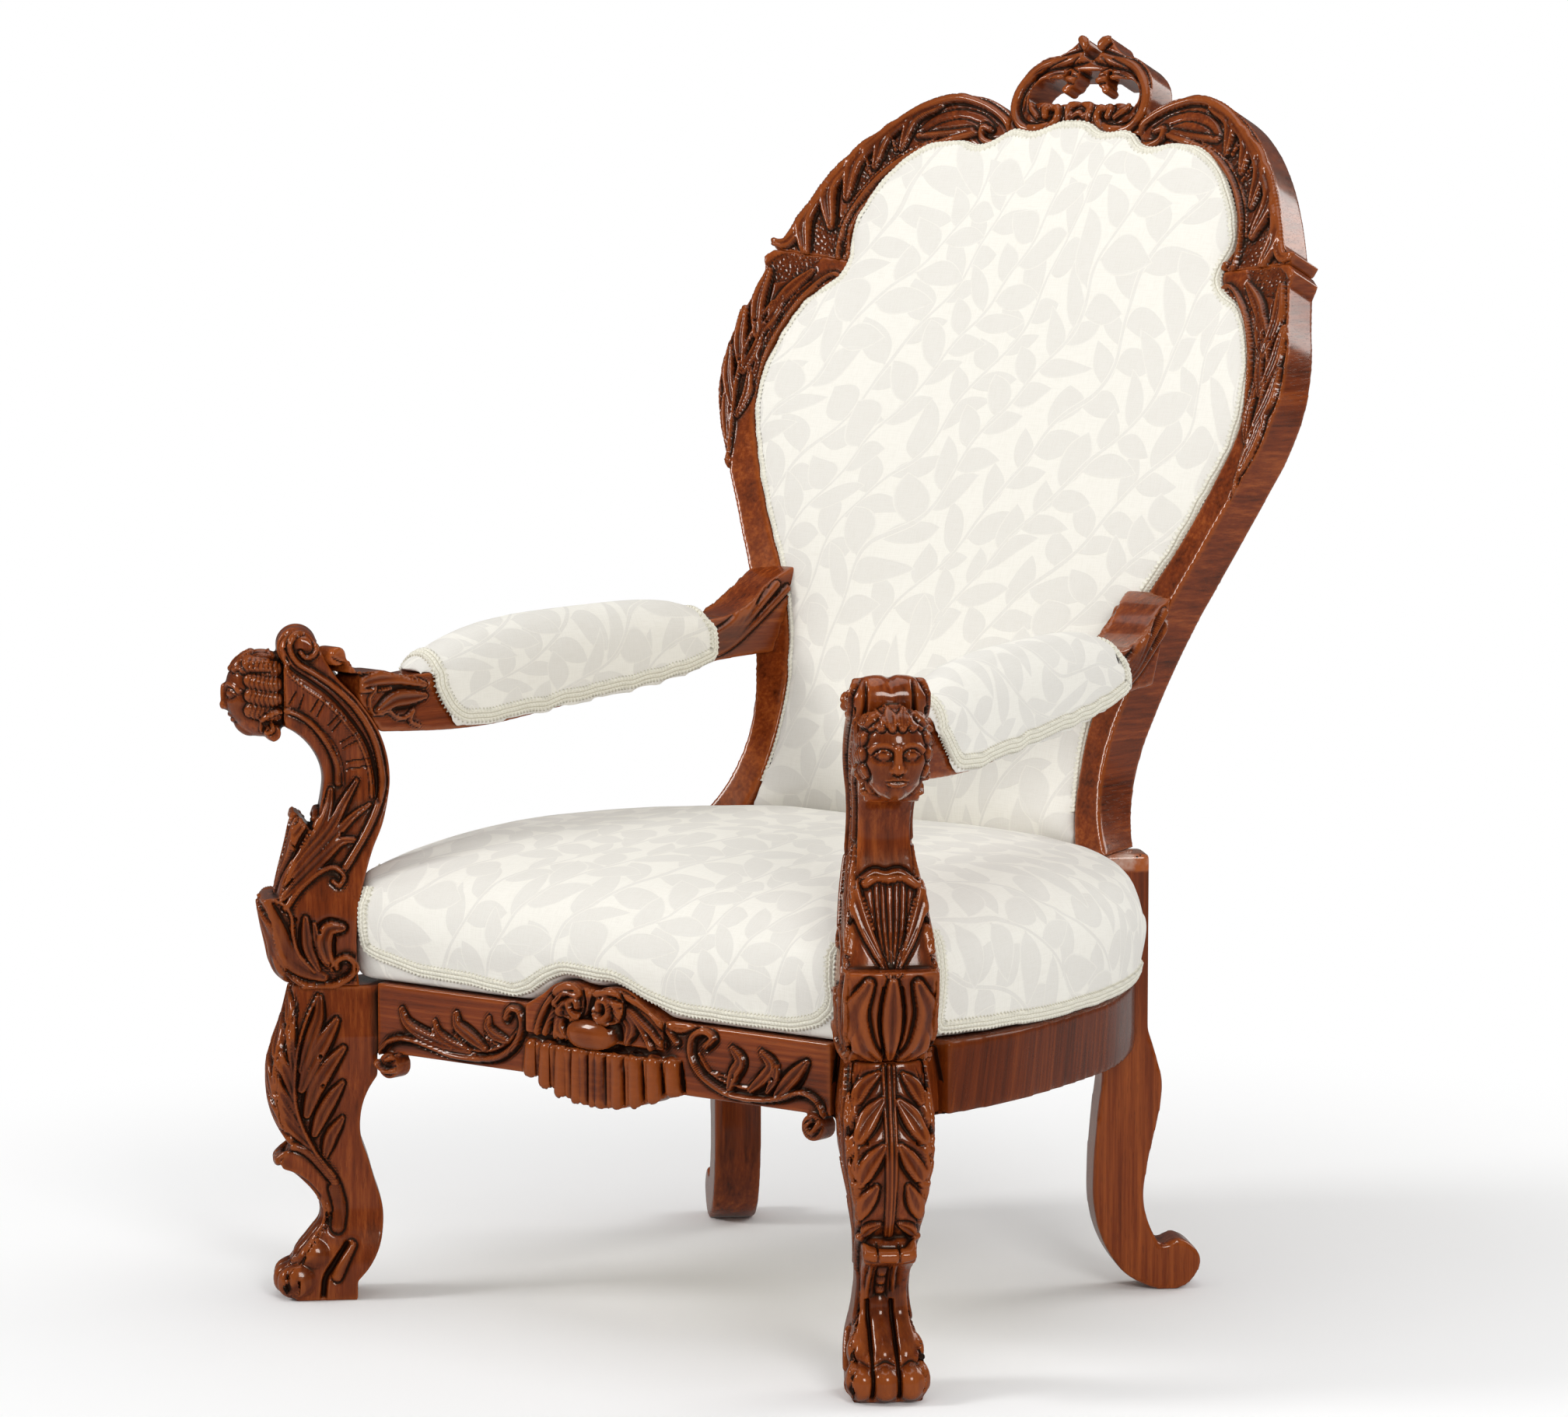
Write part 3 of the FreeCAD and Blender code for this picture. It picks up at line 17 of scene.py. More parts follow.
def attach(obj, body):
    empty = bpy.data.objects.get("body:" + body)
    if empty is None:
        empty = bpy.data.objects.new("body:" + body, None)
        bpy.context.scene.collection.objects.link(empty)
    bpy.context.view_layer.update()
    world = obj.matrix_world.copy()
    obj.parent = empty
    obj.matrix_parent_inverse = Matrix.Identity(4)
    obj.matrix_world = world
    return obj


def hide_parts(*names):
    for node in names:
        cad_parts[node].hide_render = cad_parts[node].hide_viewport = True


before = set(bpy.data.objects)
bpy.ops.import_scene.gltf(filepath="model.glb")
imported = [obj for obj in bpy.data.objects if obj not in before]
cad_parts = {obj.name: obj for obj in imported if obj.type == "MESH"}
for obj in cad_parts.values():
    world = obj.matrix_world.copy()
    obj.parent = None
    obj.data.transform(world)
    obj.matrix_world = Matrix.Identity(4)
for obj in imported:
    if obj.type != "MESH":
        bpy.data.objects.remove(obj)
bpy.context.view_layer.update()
LOG = logging.getLogger("armchair")
MM = 0.001
Point = tuple[float, float]
SIDES = {1: "right", -1: "left"}
# How far a normal leans towards a view where its strokes begin to show, and where they show in full
CARVED = (0.35, 0.75)


# Node graphs

class Term:
    """A number or an output socket that takes part in sums of a node tree."""

    def __init__(self, graph: "Graph", value: object) -> None:
        """Keeps the tree and the socket or number."""
        self.graph = graph
        self.value = value

    def _math(self, operation: str, *others: object) -> "Term":
        """Adds a Math node.

        Args:
            operation: The node's operation.
            others: Its other inputs.

        Returns:
            The node's output.
        """
        node = self.graph.add("ShaderNodeMath", operation=operation)
        for slot, value in enumerate((self, *others)):
            self.graph.feed(node.inputs[slot], value)
        return Term(self.graph, node.outputs[0])

    def __add__(self, other: object) -> "Term":
        """The sum."""
        return self._math("ADD", other)

    def __sub__(self, other: object) -> "Term":
        """The difference."""
        return self._math("SUBTRACT", other)

    def __mul__(self, other: object) -> "Term":
        """The product."""
        return self._math("MULTIPLY", other)

    def __truediv__(self, other: object) -> "Term":
        """The quotient."""
        return self._math("DIVIDE", other)

    def call(self, operation: str, *others: object) -> "Term":
        """Any other Math operation by its name."""
        return self._math(operation, *others)

    def step(self, low: float, high: float) -> "Term":
        """Goes smoothly from 0 at low to 1 at high, or the other way round.

        Args:
            low: Value that gives 0.
            high: Value that gives 1.

        Returns:
            The smooth step.
        """
        node = self.graph.add("ShaderNodeMapRange", interpolation_type="SMOOTHSTEP")
        self.graph.feed(node.inputs["Value"], self)
        up = low < high
        node.inputs["From Min"].default_value = low if up else high
        node.inputs["From Max"].default_value = high if up else low
        node.inputs["To Min"].default_value = 0.0 if up else 1.0
        node.inputs["To Max"].default_value = 1.0 if up else 0.0
        return Term(self.graph, node.outputs["Result"])


class Graph:
    """Adds and links the nodes of one tree."""

    def __init__(self, tree: bpy.types.NodeTree) -> None:
        """Keeps the tree."""
        self.tree = tree

    def add(self, kind: str, **settings: object) -> bpy.types.Node:
        """Adds a node.

        Args:
            kind: The node's type name.
            settings: Its properties.

        Returns:
            The new node.
        """
        node = self.tree.nodes.new(kind)
        for name, value in settings.items():
            setattr(node, name, value)
        return node

    def feed(self, socket: bpy.types.NodeSocket, value: object) -> None:
        """Links a socket to a term or another socket, or sets its number.

        Args:
            socket: The input.
            value: Term, socket, number or tuple.
        """
        if isinstance(value, Term):
            value = value.value
        if isinstance(value, bpy.types.NodeSocket):
            self.tree.links.new(value, socket)
        else:
            socket.default_value = value

    def term(self, value: object) -> Term:
        """A socket or number as a term."""
        return Term(self, value)

    def parts(self, vector: object) -> list[Term]:
        """The three parts of a vector."""
        node = self.add("ShaderNodeSeparateXYZ")
        self.feed(node.inputs[0], vector)
        return [self.term(out) for out in node.outputs]

    def noise(self, vector: object, scale: float, detail: float = 3.0, rough: float = 0.55) -> Term:
        """A noise texture's value over a vector.

        Args:
            vector: Where it is read.
            scale: Its scale.
            detail: Its octaves.
            rough: How strong the small octaves are.

        Returns:
            Its factor.
        """
        node = self.add("ShaderNodeTexNoise")
        self.feed(node.inputs["Vector"], vector)
        node.inputs["Scale"].default_value = scale
        node.inputs["Detail"].default_value = detail
        node.inputs["Roughness"].default_value = rough
        return Term(self, node.outputs[0])

    def mapped(self, vector: object, scale: Sequence[float], turn: Sequence[float] = (0, 0, 0),
               move: Sequence[float] = (0, 0, 0)) -> object:
        """A vector turned and scaled by a Mapping node.

        Args:
            vector: The vector's socket.
            scale: Scale on each axis.
            turn: Turn about each axis, in radians.
            move: Shift on each axis.

        Returns:
            The output socket.
        """
        node = self.add("ShaderNodeMapping", vector_type="POINT")
        self.feed(node.inputs["Vector"], vector)
        node.inputs["Location"].default_value = move
        node.inputs["Rotation"].default_value = turn
        node.inputs["Scale"].default_value = scale
        return node.outputs[0]

    def ramp(self, factor: object, *stops: tuple[float, tuple[float, float, float]]) -> object:
        """A colour ramp.

        Args:
            factor: What runs over it.
            stops: Place and colour of each stop.

        Returns:
            The colour socket.
        """
        node = self.add("ShaderNodeValToRGB")
        elements = node.color_ramp.elements
        while len(elements) < len(stops):
            elements.new(1.0)
        for element, (place, colour) in zip(elements, stops):
            element.position = place
            element.color = (*colour, 1.0)
        self.feed(node.inputs[0], factor)
        return node.outputs[0]

    def mix(self, factor: object, first: object, second: object, blend: str = "MIX") -> object:
        """Mixes two colours.

        Args:
            factor: Share of the second.
            first: A colour or socket.
            second: A colour or socket.
            blend: The blend mode.

        Returns:
            The colour socket.
        """
        node = self.add("ShaderNodeMix", data_type="RGBA", blend_type=blend)
        self.feed(node.inputs[0], factor)
        for slot, value in ((6, first), (7, second)):
            self.feed(node.inputs[slot], (*value, 1.0) if isinstance(value, tuple) else value)
        return node.outputs[2]

    def group(self, tree: bpy.types.NodeTree, **values: object) -> bpy.types.Node:
        """Places a node group.

        Args:
            tree: The group.
            values: Its inputs, with underscores for spaces.

        Returns:
            The group node.
        """
        node = self.add("ShaderNodeGroup", node_tree=tree)
        for name, value in values.items():
            self.feed(node.inputs[name.replace("_", " ")], value)
        return node


def new_group(name: str, inputs: dict[str, str], outputs: dict[str, str]) -> tuple[Graph, object, object]:
    """Starts a shader node group.

    Args:
        name: Its name.
        inputs: Socket name to "Float" or "Vector".
        outputs: Socket name to "Float" or "Color".

    Returns:
        Its graph, input node and output node.
    """
    tree = bpy.data.node_groups.new(name, "ShaderNodeTree")
    for label, kind in inputs.items():
        tree.interface.new_socket(label, in_out="INPUT", socket_type="NodeSocket" + kind)
    for label, kind in outputs.items():
        tree.interface.new_socket(label, in_out="OUTPUT", socket_type="NodeSocket" + kind)
    graph = Graph(tree)
    return graph, graph.add("NodeGroupInput"), graph.add("NodeGroupOutput")


class Effects:
    """The effects that several finishes share, each a node group made once."""

    made: dict[str, bpy.types.NodeTree] = {}

    @classmethod
    def take(cls, name: str) -> bpy.types.NodeTree:
        """The group of that name, made on its first use."""
        if name not in cls.made:
            cls.made[name] = getattr(cls, name)()
        return cls.made[name]

    @staticmethod
    def figure() -> bpy.types.NodeTree:
        """Wood figure along the X axis of its vector: broad bands, streaks and short pores."""
        g, start, end = new_group("wood_figure", {"Vector": "Vector"},
                                  {"Bands": "Float", "Streaks": "Float", "Pores": "Float"})
        where = start.outputs["Vector"]
        broad = g.noise(g.mapped(where, (1.6, 11, 11)), 1.0, 3)
        bands = g.noise(g.mapped(where, (2.4, 70, 70)), 1.0, 3)
        g.feed(end.inputs["Bands"], broad * 0.55 + bands * 0.45)
        g.feed(end.inputs["Streaks"], g.noise(g.mapped(where, (7, 260, 260)), 1.0, 4, 0.6))
        pores = g.noise(g.mapped(where, (70, 1300, 1300)), 1.0, 1)
        g.feed(end.inputs["Pores"], pores.step(0.6, 0.72))
        return g.tree

    @staticmethod
    def weave() -> bpy.types.NodeTree:
        """A plain weave over a flat vector in metres: the threads' height and a slub."""
        g, start, end = new_group("plain_weave", {"Vector": "Vector", "Threads": "Float"},
                                  {"Height": "Float", "Slub": "Float"})
        across, along, _ = g.parts(start.outputs["Vector"])
        turns = g.term(start.outputs["Threads"]) * math.tau * 0.5
        across = (across * turns).call("SINE").call("ABSOLUTE")
        along = (along * turns).call("SINE").call("ABSOLUTE")
        g.feed(end.inputs["Height"], across.call("MAXIMUM", along) - across * along * 0.4)
        slub = g.noise(g.mapped(start.outputs["Vector"], (900, 60, 1)), 1.0, 2)
        weft = g.noise(g.mapped(start.outputs["Vector"], (60, 900, 1)), 1.0, 2)
        g.feed(end.inputs["Slub"], slub * 0.5 + weft * 0.5)
        return g.tree

    @staticmethod
    def leaf() -> bpy.types.NodeTree:
        """One leaf of a trailing stem: its body and its midrib, over a flat vector in metres.

        The stem runs along Y in columns Pitch apart, and carries a leaf to each side by turns. Shift picks
        the leaf before or after the one of this height.
        """
        g, start, end = new_group("trail_leaf",
                                  {"Vector": "Vector", "Pitch": "Float", "Step": "Float", "Shift": "Float"},
                                  {"Leaf": "Float", "Rib": "Float"})
        across, along, _ = g.parts(start.outputs["Vector"])
        pitch, step = g.term(start.outputs["Pitch"]), g.term(start.outputs["Step"])
        across = across - (along * 11.0).call("SINE") * 0.020
        column = (across / pitch).call("FLOOR")
        number = (along / step).call("FLOOR") + g.term(start.outputs["Shift"])
        side = number.call("FLOORED_MODULO", 2.0) * 2.0 - 1.0
        seed = g.add("ShaderNodeTexWhiteNoise", noise_dimensions="2D")
        both = g.add("ShaderNodeCombineXYZ")
        g.feed(both.inputs[0], column)
        g.feed(both.inputs[1], number)
        g.feed(seed.inputs["Vector"], both.outputs[0])
        chance = g.term(seed.outputs["Value"])
        root_y = (number + 0.5) * step
        root_x = (column + 0.5) * pitch
        turn = side * (chance * 0.75 + 0.42)
        dx, dy = across - root_x, along - root_y
        c, s = turn.call("COSINE"), turn.call("SINE")
        run = dx * s + dy * c
        off = dx * c - dy * s
        length = (chance * 7.3).call("FRACT") * 0.020 + 0.042
        share = run / length - 0.56
        bow = off - (share * share - 0.25) * 0.014 * side
        half = (share.call("ABSOLUTE") * 2.0).call("POWER", 2.2) * -1.0 + 1.0
        width = half * (share * -0.35 + 1.0) * (chance * 0.004 + 0.0108)
        body = (width - bow.call("ABSOLUTE")).step(-0.0004, 0.0006)
        stalk = bow.call("ABSOLUTE").step(0.0013, 0.0007) * (run.step(0.0, 0.0006) * run.step(0.008, 0.006))
        body = body.call("MAXIMUM", stalk)
        rib = (width - bow.call("ABSOLUTE")).call("ABSOLUTE").step(0.0013, 0.0004) * run.step(0.004, 0.008)
        g.feed(end.inputs["Leaf"], body)
        g.feed(end.inputs["Rib"], rib)
        return g.tree

    @staticmethod
    def trail() -> bpy.types.NodeTree:
        """Trailing stems with leaves by turns: how far a point is leaf, and how far stem or rib."""
        g, start, end = new_group("leaf_trail", {"Vector": "Vector", "Pitch": "Float", "Step": "Float"},
                                  {"Leaf": "Float", "Line": "Float"})
        leaves, ribs = g.term(0.0), g.term(0.0)
        for shift in (-3.0, -2.0, -1.0, 0.0):
            one = g.group(Effects.take("leaf"), Vector=start.outputs["Vector"], Pitch=start.outputs["Pitch"],
                          Step=start.outputs["Step"], Shift=shift)
            body, rib = g.term(one.outputs["Leaf"]), g.term(one.outputs["Rib"])
            leaves = (leaves * (rib * -1.0 + 1.0)).call("MAXIMUM", body)
            ribs = ribs.call("MAXIMUM", rib)
        across, along, _ = g.parts(start.outputs["Vector"])
        pitch = g.term(start.outputs["Pitch"])
        bent = across - (along * 11.0).call("SINE") * 0.020
        column = (bent / pitch).call("FLOOR")
        gap = (bent - (column + 0.5) * pitch).call("ABSOLUTE")
        stem = gap.step(0.0019, 0.0013)
        leaves = (leaves * gap.step(0.0019, 0.0029)).call("MAXIMUM", stem)
        g.feed(end.inputs["Leaf"], leaves)
        g.feed(end.inputs["Line"], ribs)
        return g.tree


# Finishes

class Grain(Enum):
    """Which way the wood's grain runs, as the turn that brings it onto X."""

    ALONG_X = (0.0, 0.0, 0.0)
    UPRIGHT = (0.0, math.radians(90), 0.0)
    RAKED = (0.0, math.radians(78), math.radians(90))
    DEPTH = (0.0, 0.0, math.radians(-80))
    CURL = (math.radians(10), math.radians(90), 0.0)


def surface(name: str) -> tuple[Graph, bpy.types.Node, bpy.types.Material]:
    """Starts a material.

    Args:
        name: The material's name.

    Returns:
        Its graph, its Principled node and the material.
    """
    material = bpy.data.materials.new(name)
    material.use_nodes = True
    graph = Graph(material.node_tree)
    return graph, material.node_tree.nodes["Principled BSDF"], material


def roughen(graph: Graph, shader: bpy.types.Node, height: object, distance: float,
            strength: float = 1.0) -> None:
    """Gives a shader a bump.

    Args:
        graph: The material's graph.
        shader: Its Principled node.
        height: The bump's height.
        distance: The height's size in metres.
        strength: How strongly it shows.
    """
    bump = graph.add("ShaderNodeBump")
    bump.inputs["Strength"].default_value = strength
    bump.inputs["Distance"].default_value = distance
    graph.feed(bump.inputs["Height"], height)
    graph.feed(shader.inputs["Normal"], bump.outputs[0])


@dataclass(frozen=True)
class Mahogany:
    """Polished mahogany: figure, streaks and pores, darker where carved, with painted shade in its hollows
    and a painted highlight on its proud places.
    """

    name: str
    grain: Grain
    dark: tuple[float, float, float] = (0.048, 0.0080, 0.0016)
    middle: tuple[float, float, float] = (0.172, 0.0310, 0.0052)
    light: tuple[float, float, float] = (0.36, 0.090, 0.0170)
    hollow_shade_and_wormholes: tuple[float, float, float] = (0.008, 0.0024, 0.0014)
    rough: float = 0.22
    coat: float = 0.62
    bare: float = 9.0
    pale: tuple[float, float, float] = (0.60, 0.49, 0.45)

    def build(self) -> bpy.types.Material:
        """Makes the material.

        Returns:
            The material.
        """
        g, shader, material = surface(self.name)
        where = g.add("ShaderNodeTexCoord").outputs["Object"]
        figure = g.group(Effects.take("figure"), Vector=g.mapped(where, (1, 1, 1), self.grain.value))
        bands, streaks = g.term(figure.outputs["Bands"]), g.term(figure.outputs["Streaks"])
        pores = g.term(figure.outputs["Pores"])
        tone = bands * 0.62 + streaks * 0.4
        colour = g.ramp(tone, (0.36, self.dark), (0.52, self.middle), (0.70, self.light))
        colour = g.mix(pores * 0.35, colour, self.dark)
        carve = g.add("ShaderNodeAttribute", attribute_name="hollow")
        hollow = g.term(carve.outputs["Fac"])
        worked_darkening = g.term(g.add("ShaderNodeAttribute", attribute_name="worked_darkening").outputs["Fac"])
        # Darker where the tools worked: carved places take a share of the dark tone.
        colour = g.mix(worked_darkening.step(0.1, 0.7) * 0.52, colour, self.dark)
        # Painted shade: hollows darken almost to black, whatever the light.
        colour = g.mix(hollow.step(0.0, 0.7) * 0.95, colour, self.hollow_shade_and_wormholes)
        # Painted highlight: proud places lighten towards the light tone, whatever the light.
        colour = g.mix(hollow.step(-0.1, -0.9) * 0.5, colour, self.light)
        worn = g.noise(where, 38.0, 4)
        raw = (g.parts(where)[2] + worn * 0.012).step(self.bare, self.bare + 0.004)
        holes = g.add("ShaderNodeTexVoronoi", distance="EUCLIDEAN")
        g.feed(holes.inputs["Vector"], where)
        holes.inputs["Scale"].default_value = 150.0
        eaten = g.term(holes.outputs["Distance"]).step(0.24, 0.14)
        dry = g.mix(worn.step(0.35, 0.7), self.pale, self.light)
        # Worm holes on the bare top take the same near-black colour as the painted hollow shade.
        colour = g.mix(raw, colour, g.mix(eaten, dry, self.hollow_shade_and_wormholes))
        g.feed(shader.inputs["Base Color"], colour)
        rough = worn * 0.16 + (self.rough - 0.08) + hollow.step(0.1, 0.8) * 0.22
        g.feed(shader.inputs["Roughness"], rough)
        shader.inputs["Coat Roughness"].default_value = 0.09
        shader.inputs["Coat Tint"].default_value = (1.0, 0.91, 0.80, 1.0)
        shader.inputs["Specular IOR Level"].default_value = 0.2
        shader.inputs["Specular Tint"].default_value = (1.0, 0.72, 0.50, 1.0)
        g.feed(shader.inputs["Coat Weight"], hollow.step(0.7, 0.0) * self.coat)
        roughen(g, shader, pores * -0.5 + streaks * 0.6 + worn * 1.2, 0.00035, 0.5)
        return material


@dataclass(frozen=True)
class LeafCloth:
    """Ivory cotton with a tone-on-tone pattern of trailing leaves, read from the piece's cloth map."""

    name: str
    ground: tuple[float, float, float] = (0.85, 0.825, 0.755)
    leaf: tuple[float, float, float] = (0.752, 0.728, 0.674)
    line: tuple[float, float, float] = (0.80, 0.775, 0.715)

    def build(self) -> bpy.types.Material:
        """Makes the material.

        Returns:
            The material.
        """
        g, shader, material = surface(self.name)
        cloth = g.add("ShaderNodeUVMap", uv_map="cloth").outputs[0]
        wander = g.add("ShaderNodeTexNoise")
        g.feed(wander.inputs["Vector"], cloth)
        wander.inputs["Scale"].default_value = 6.0
        wander.inputs["Detail"].default_value = 1.0
        drift = g.add("ShaderNodeVectorMath", operation="MULTIPLY_ADD")
        g.feed(drift.inputs[0], wander.outputs["Color"])
        drift.inputs[1].default_value = (0.09, 0.09, 0.0)
        g.feed(drift.inputs[2], cloth)
        placed = g.mapped(drift.outputs[0], (1, 1, 1), (0, 0, 0.5))
        trail = g.group(Effects.take("trail"), Vector=placed, Pitch=0.112, Step=0.0220)
        leaf, line = g.term(trail.outputs["Leaf"]), g.term(trail.outputs["Line"])
        under = g.mapped(drift.outputs[0], (1, 1, 1), (0, 0, 0.5), (0.056, 0.031, 0))
        below = g.group(Effects.take("trail"), Vector=under, Pitch=0.112, Step=0.0260)
        leaf = leaf.call("MAXIMUM", g.term(below.outputs["Leaf"]) * (line * -1.0 + 1.0))
        weave = g.group(Effects.take("weave"), Vector=cloth, Threads=1500.0)
        slub = g.term(weave.outputs["Slub"])
        fleck = g.noise(g.mapped(cloth, (1400, 1400, 1)), 1.0, 2)
        shown = leaf * (fleck.step(0.2, 0.62) * 0.45 + 0.55)
        colour = g.mix(shown, self.ground, self.leaf)
        colour = g.mix(line * 0.5, colour, self.line)
        colour = g.mix(slub.step(0.42, 0.64) * 0.16, colour, (0.62, 0.58, 0.50))
        g.feed(shader.inputs["Base Color"], colour)
        g.feed(shader.inputs["Roughness"], leaf * -0.10 + 0.86)
        shader.inputs["Sheen Weight"].default_value = 0.12
        shader.inputs["Sheen Roughness"].default_value = 0.5
        shader.inputs["Specular IOR Level"].default_value = 0.25
        height = g.term(weave.outputs["Height"]) * 0.5 + slub * 0.6 + leaf * 0.7 + line * 0.4
        roughen(g, shader, height, 0.0003, 0.6)
        return material


@dataclass(frozen=True)
class PlainCloth:
    """A plain woven cloth: its colour, a second tone in the slubs, and its thread count to a metre."""

    name: str
    ground: tuple[float, float, float]
    shade: tuple[float, float, float]
    threads: float = 900.0
    flat: tuple[float, float, float] = (0.0, 0.0, 0.0)

    def build(self) -> bpy.types.Material:
        """Makes the material.

        Returns:
            The material.
        """
        g, shader, material = surface(self.name)
        where = g.mapped(g.add("ShaderNodeTexCoord").outputs["Object"], (1, 1, 1), self.flat)
        weave = g.group(Effects.take("weave"), Vector=where, Threads=self.threads)
        slub = g.term(weave.outputs["Slub"])
        colour = g.mix(slub.step(0.4, 0.66), self.ground, self.shade)
        colour = g.mix(g.noise(where, 9.0, 3).step(0.45, 0.75) * 0.3, colour, self.shade)
        g.feed(shader.inputs["Base Color"], colour)
        g.feed(shader.inputs["Roughness"], slub * 0.1 + 0.82)
        shader.inputs["Sheen Weight"].default_value = 0.1
        shader.inputs["Specular IOR Level"].default_value = 0.2
        roughen(g, shader, g.term(weave.outputs["Height"]) + slub, 0.0004, 0.7)
        return material


@dataclass(frozen=True)
class RawWood:
    """Unfinished wood of the hidden work: pine blocks and beech dowels; the worm-holed ledge is bare mahogany
    instead.
    """

    name: str
    light: tuple[float, float, float]
    dark: tuple[float, float, float]
    grain: Grain = Grain.UPRIGHT

    def build(self) -> bpy.types.Material:
        """Makes the material.

        Returns:
            The material.
        """
        g, shader, material = surface(self.name)
        where = g.add("ShaderNodeTexCoord").outputs["Object"]
        figure = g.group(Effects.take("figure"), Vector=g.mapped(where, (1, 1, 1), self.grain.value))
        streaks = g.term(figure.outputs["Streaks"])
        tone = g.term(figure.outputs["Bands"]) * 0.5 + streaks * 0.5
        colour = g.ramp(tone, (0.3, self.dark), (0.7, self.light))
        g.feed(shader.inputs["Base Color"], colour)
        g.feed(shader.inputs["Roughness"], streaks * 0.2 + 0.55)
        roughen(g, shader, streaks - g.term(figure.outputs["Pores"]), 0.0004, 0.5)
        return material


@dataclass(frozen=True)
class Braid:
    """Ivory cotton braid, with fine twisted threads over the piece's own map, and painted shade in the
    threads' twists and between its cords.
    """

    name: str
    pale: tuple[float, float, float] = (0.83, 0.80, 0.69)
    cord_shade: tuple[float, float, float] = (0.45, 0.41, 0.30)

    def build(self) -> bpy.types.Material:
        """Makes the material.

        Returns:
            The material.
        """
        g, shader, material = surface(self.name)
        parts = g.add("ShaderNodeSeparateXYZ")
        g.feed(parts.inputs[0], g.add("ShaderNodeUVMap", uv_map="braid").outputs[0])
        along, across = g.term(parts.outputs[0]), g.term(parts.outputs[1])
        twist = (along * 1745.0 + across * 900.0).call("SINE") * 0.5 + 0.5
        gap = (across * (math.pi * 3 / 0.013) + math.pi / 2).call("SINE").call("ABSOLUTE").step(0.55, 0.05)
        fuzz = g.noise(g.add("ShaderNodeTexCoord").outputs["Object"], 900.0, 2)
        # Painted shade: darker in the threads' twists, broken by random fuzz, and between the cords.
        low = (twist * fuzz.step(0.3, 0.7) * 0.5).call("MAXIMUM", gap)
        g.feed(shader.inputs["Base Color"], g.mix(low * 0.8, self.pale, self.cord_shade))
        g.feed(shader.inputs["Roughness"], fuzz * 0.1 + 0.8)
        shader.inputs["Sheen Weight"].default_value = 0.15
        shader.inputs["Specular IOR Level"].default_value = 0.25
        roughen(g, shader, twist + fuzz * 0.5, 0.0004, 0.8)
        return material


def dress(piece: bpy.types.Object, material: bpy.types.Material) -> None:
    """Puts one material on a whole piece.

    Args:
        piece: The mesh object.
        material: Its material.
    """
    slots = piece.data.materials
    if len(slots):
        for number in range(len(slots)):
            slots[number] = material
    else:
        slots.append(material)


class Workshop:
    """Holds the finishes, and dresses each CAD node that stays."""

    def __init__(self) -> None:
        """Makes every finish."""
        self.carved = Mahogany("mahogany_carved", Grain.UPRIGHT).build()
        self.raked = Mahogany("mahogany_back", Grain.RAKED).build()
        self.rail = Mahogany("mahogany_rail", Grain.ALONG_X).build()
        self.veneer = Mahogany("mahogany_veneer", Grain.CURL, dark=(0.040, 0.0060, 0.0010),
                               middle=(0.118, 0.0190, 0.0024), light=(0.25, 0.055, 0.0070), rough=0.28,
                               coat=0.3).build()
        self.arm = Mahogany("mahogany_arm", Grain.DEPTH).build()
        self.ledge = Mahogany("mahogany_bare_ledge", Grain.UPRIGHT, bare=0.405).build()
        self.cloth = LeafCloth("leaf_cloth").build()
        self.braid = Braid("ivory_braid").build()
        self.cotton = PlainCloth("undercloth_cotton", (0.80, 0.76, 0.66), (0.62, 0.57, 0.46)).build()
        self.hessian = PlainCloth("hessian", (0.52, 0.41, 0.27), (0.33, 0.25, 0.15), 420.0).build()
        self.web = PlainCloth("jute_webbing", (0.50, 0.41, 0.29), (0.30, 0.23, 0.14), 500.0).build()
        self.pine = RawWood("pine", (0.60, 0.42, 0.24), (0.40, 0.25, 0.12)).build()
        self.beech = RawWood("beech", (0.62, 0.45, 0.29), (0.47, 0.31, 0.18), Grain.ALONG_X).build()

    def finish_of(self, node: str) -> bpy.types.Material:
        """The finish of a CAD node by its name.

        Args:
            node: The node's name.

        Returns:
            Its material.
        """
        for words, material in (
            (("seat_cushion", "back_cushion", "arm_pad"), self.cloth),
            (("webbing",), self.web),
            (("platform",), self.hessian),
            (("cloth",), self.cotton),
            (("corner_block",), self.pine),
            (("dowels",), self.beech),
            (("side_rail", "rear_rail"), self.veneer),
            (("back_stile", "back_shoulder", "back_crest"), self.raked),
            (("front_rail", "back_lower"), self.rail),
            (("arm_right", "arm_left"), self.arm),
        ):
            if any(word in node for word in words):
                return material
        return self.carved

    def dress_nodes(self) -> None:
        """Dresses all CAD nodes."""
        for name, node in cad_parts.items():
            dress(node, self.finish_of(name))
        LOG.info("dressed %d nodes", len(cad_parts))


# Carving

class Cut(Enum):
    """What a tool stroke leaves."""

    LOBE = "a leaf lobe with a vein"
    BEAD = "a round moulding"
    DROPS = "a row of small drops"
    GROOVE = "a gouged line"
    EYE = "a drilled eye"
    SWELL = "a soft swelling"


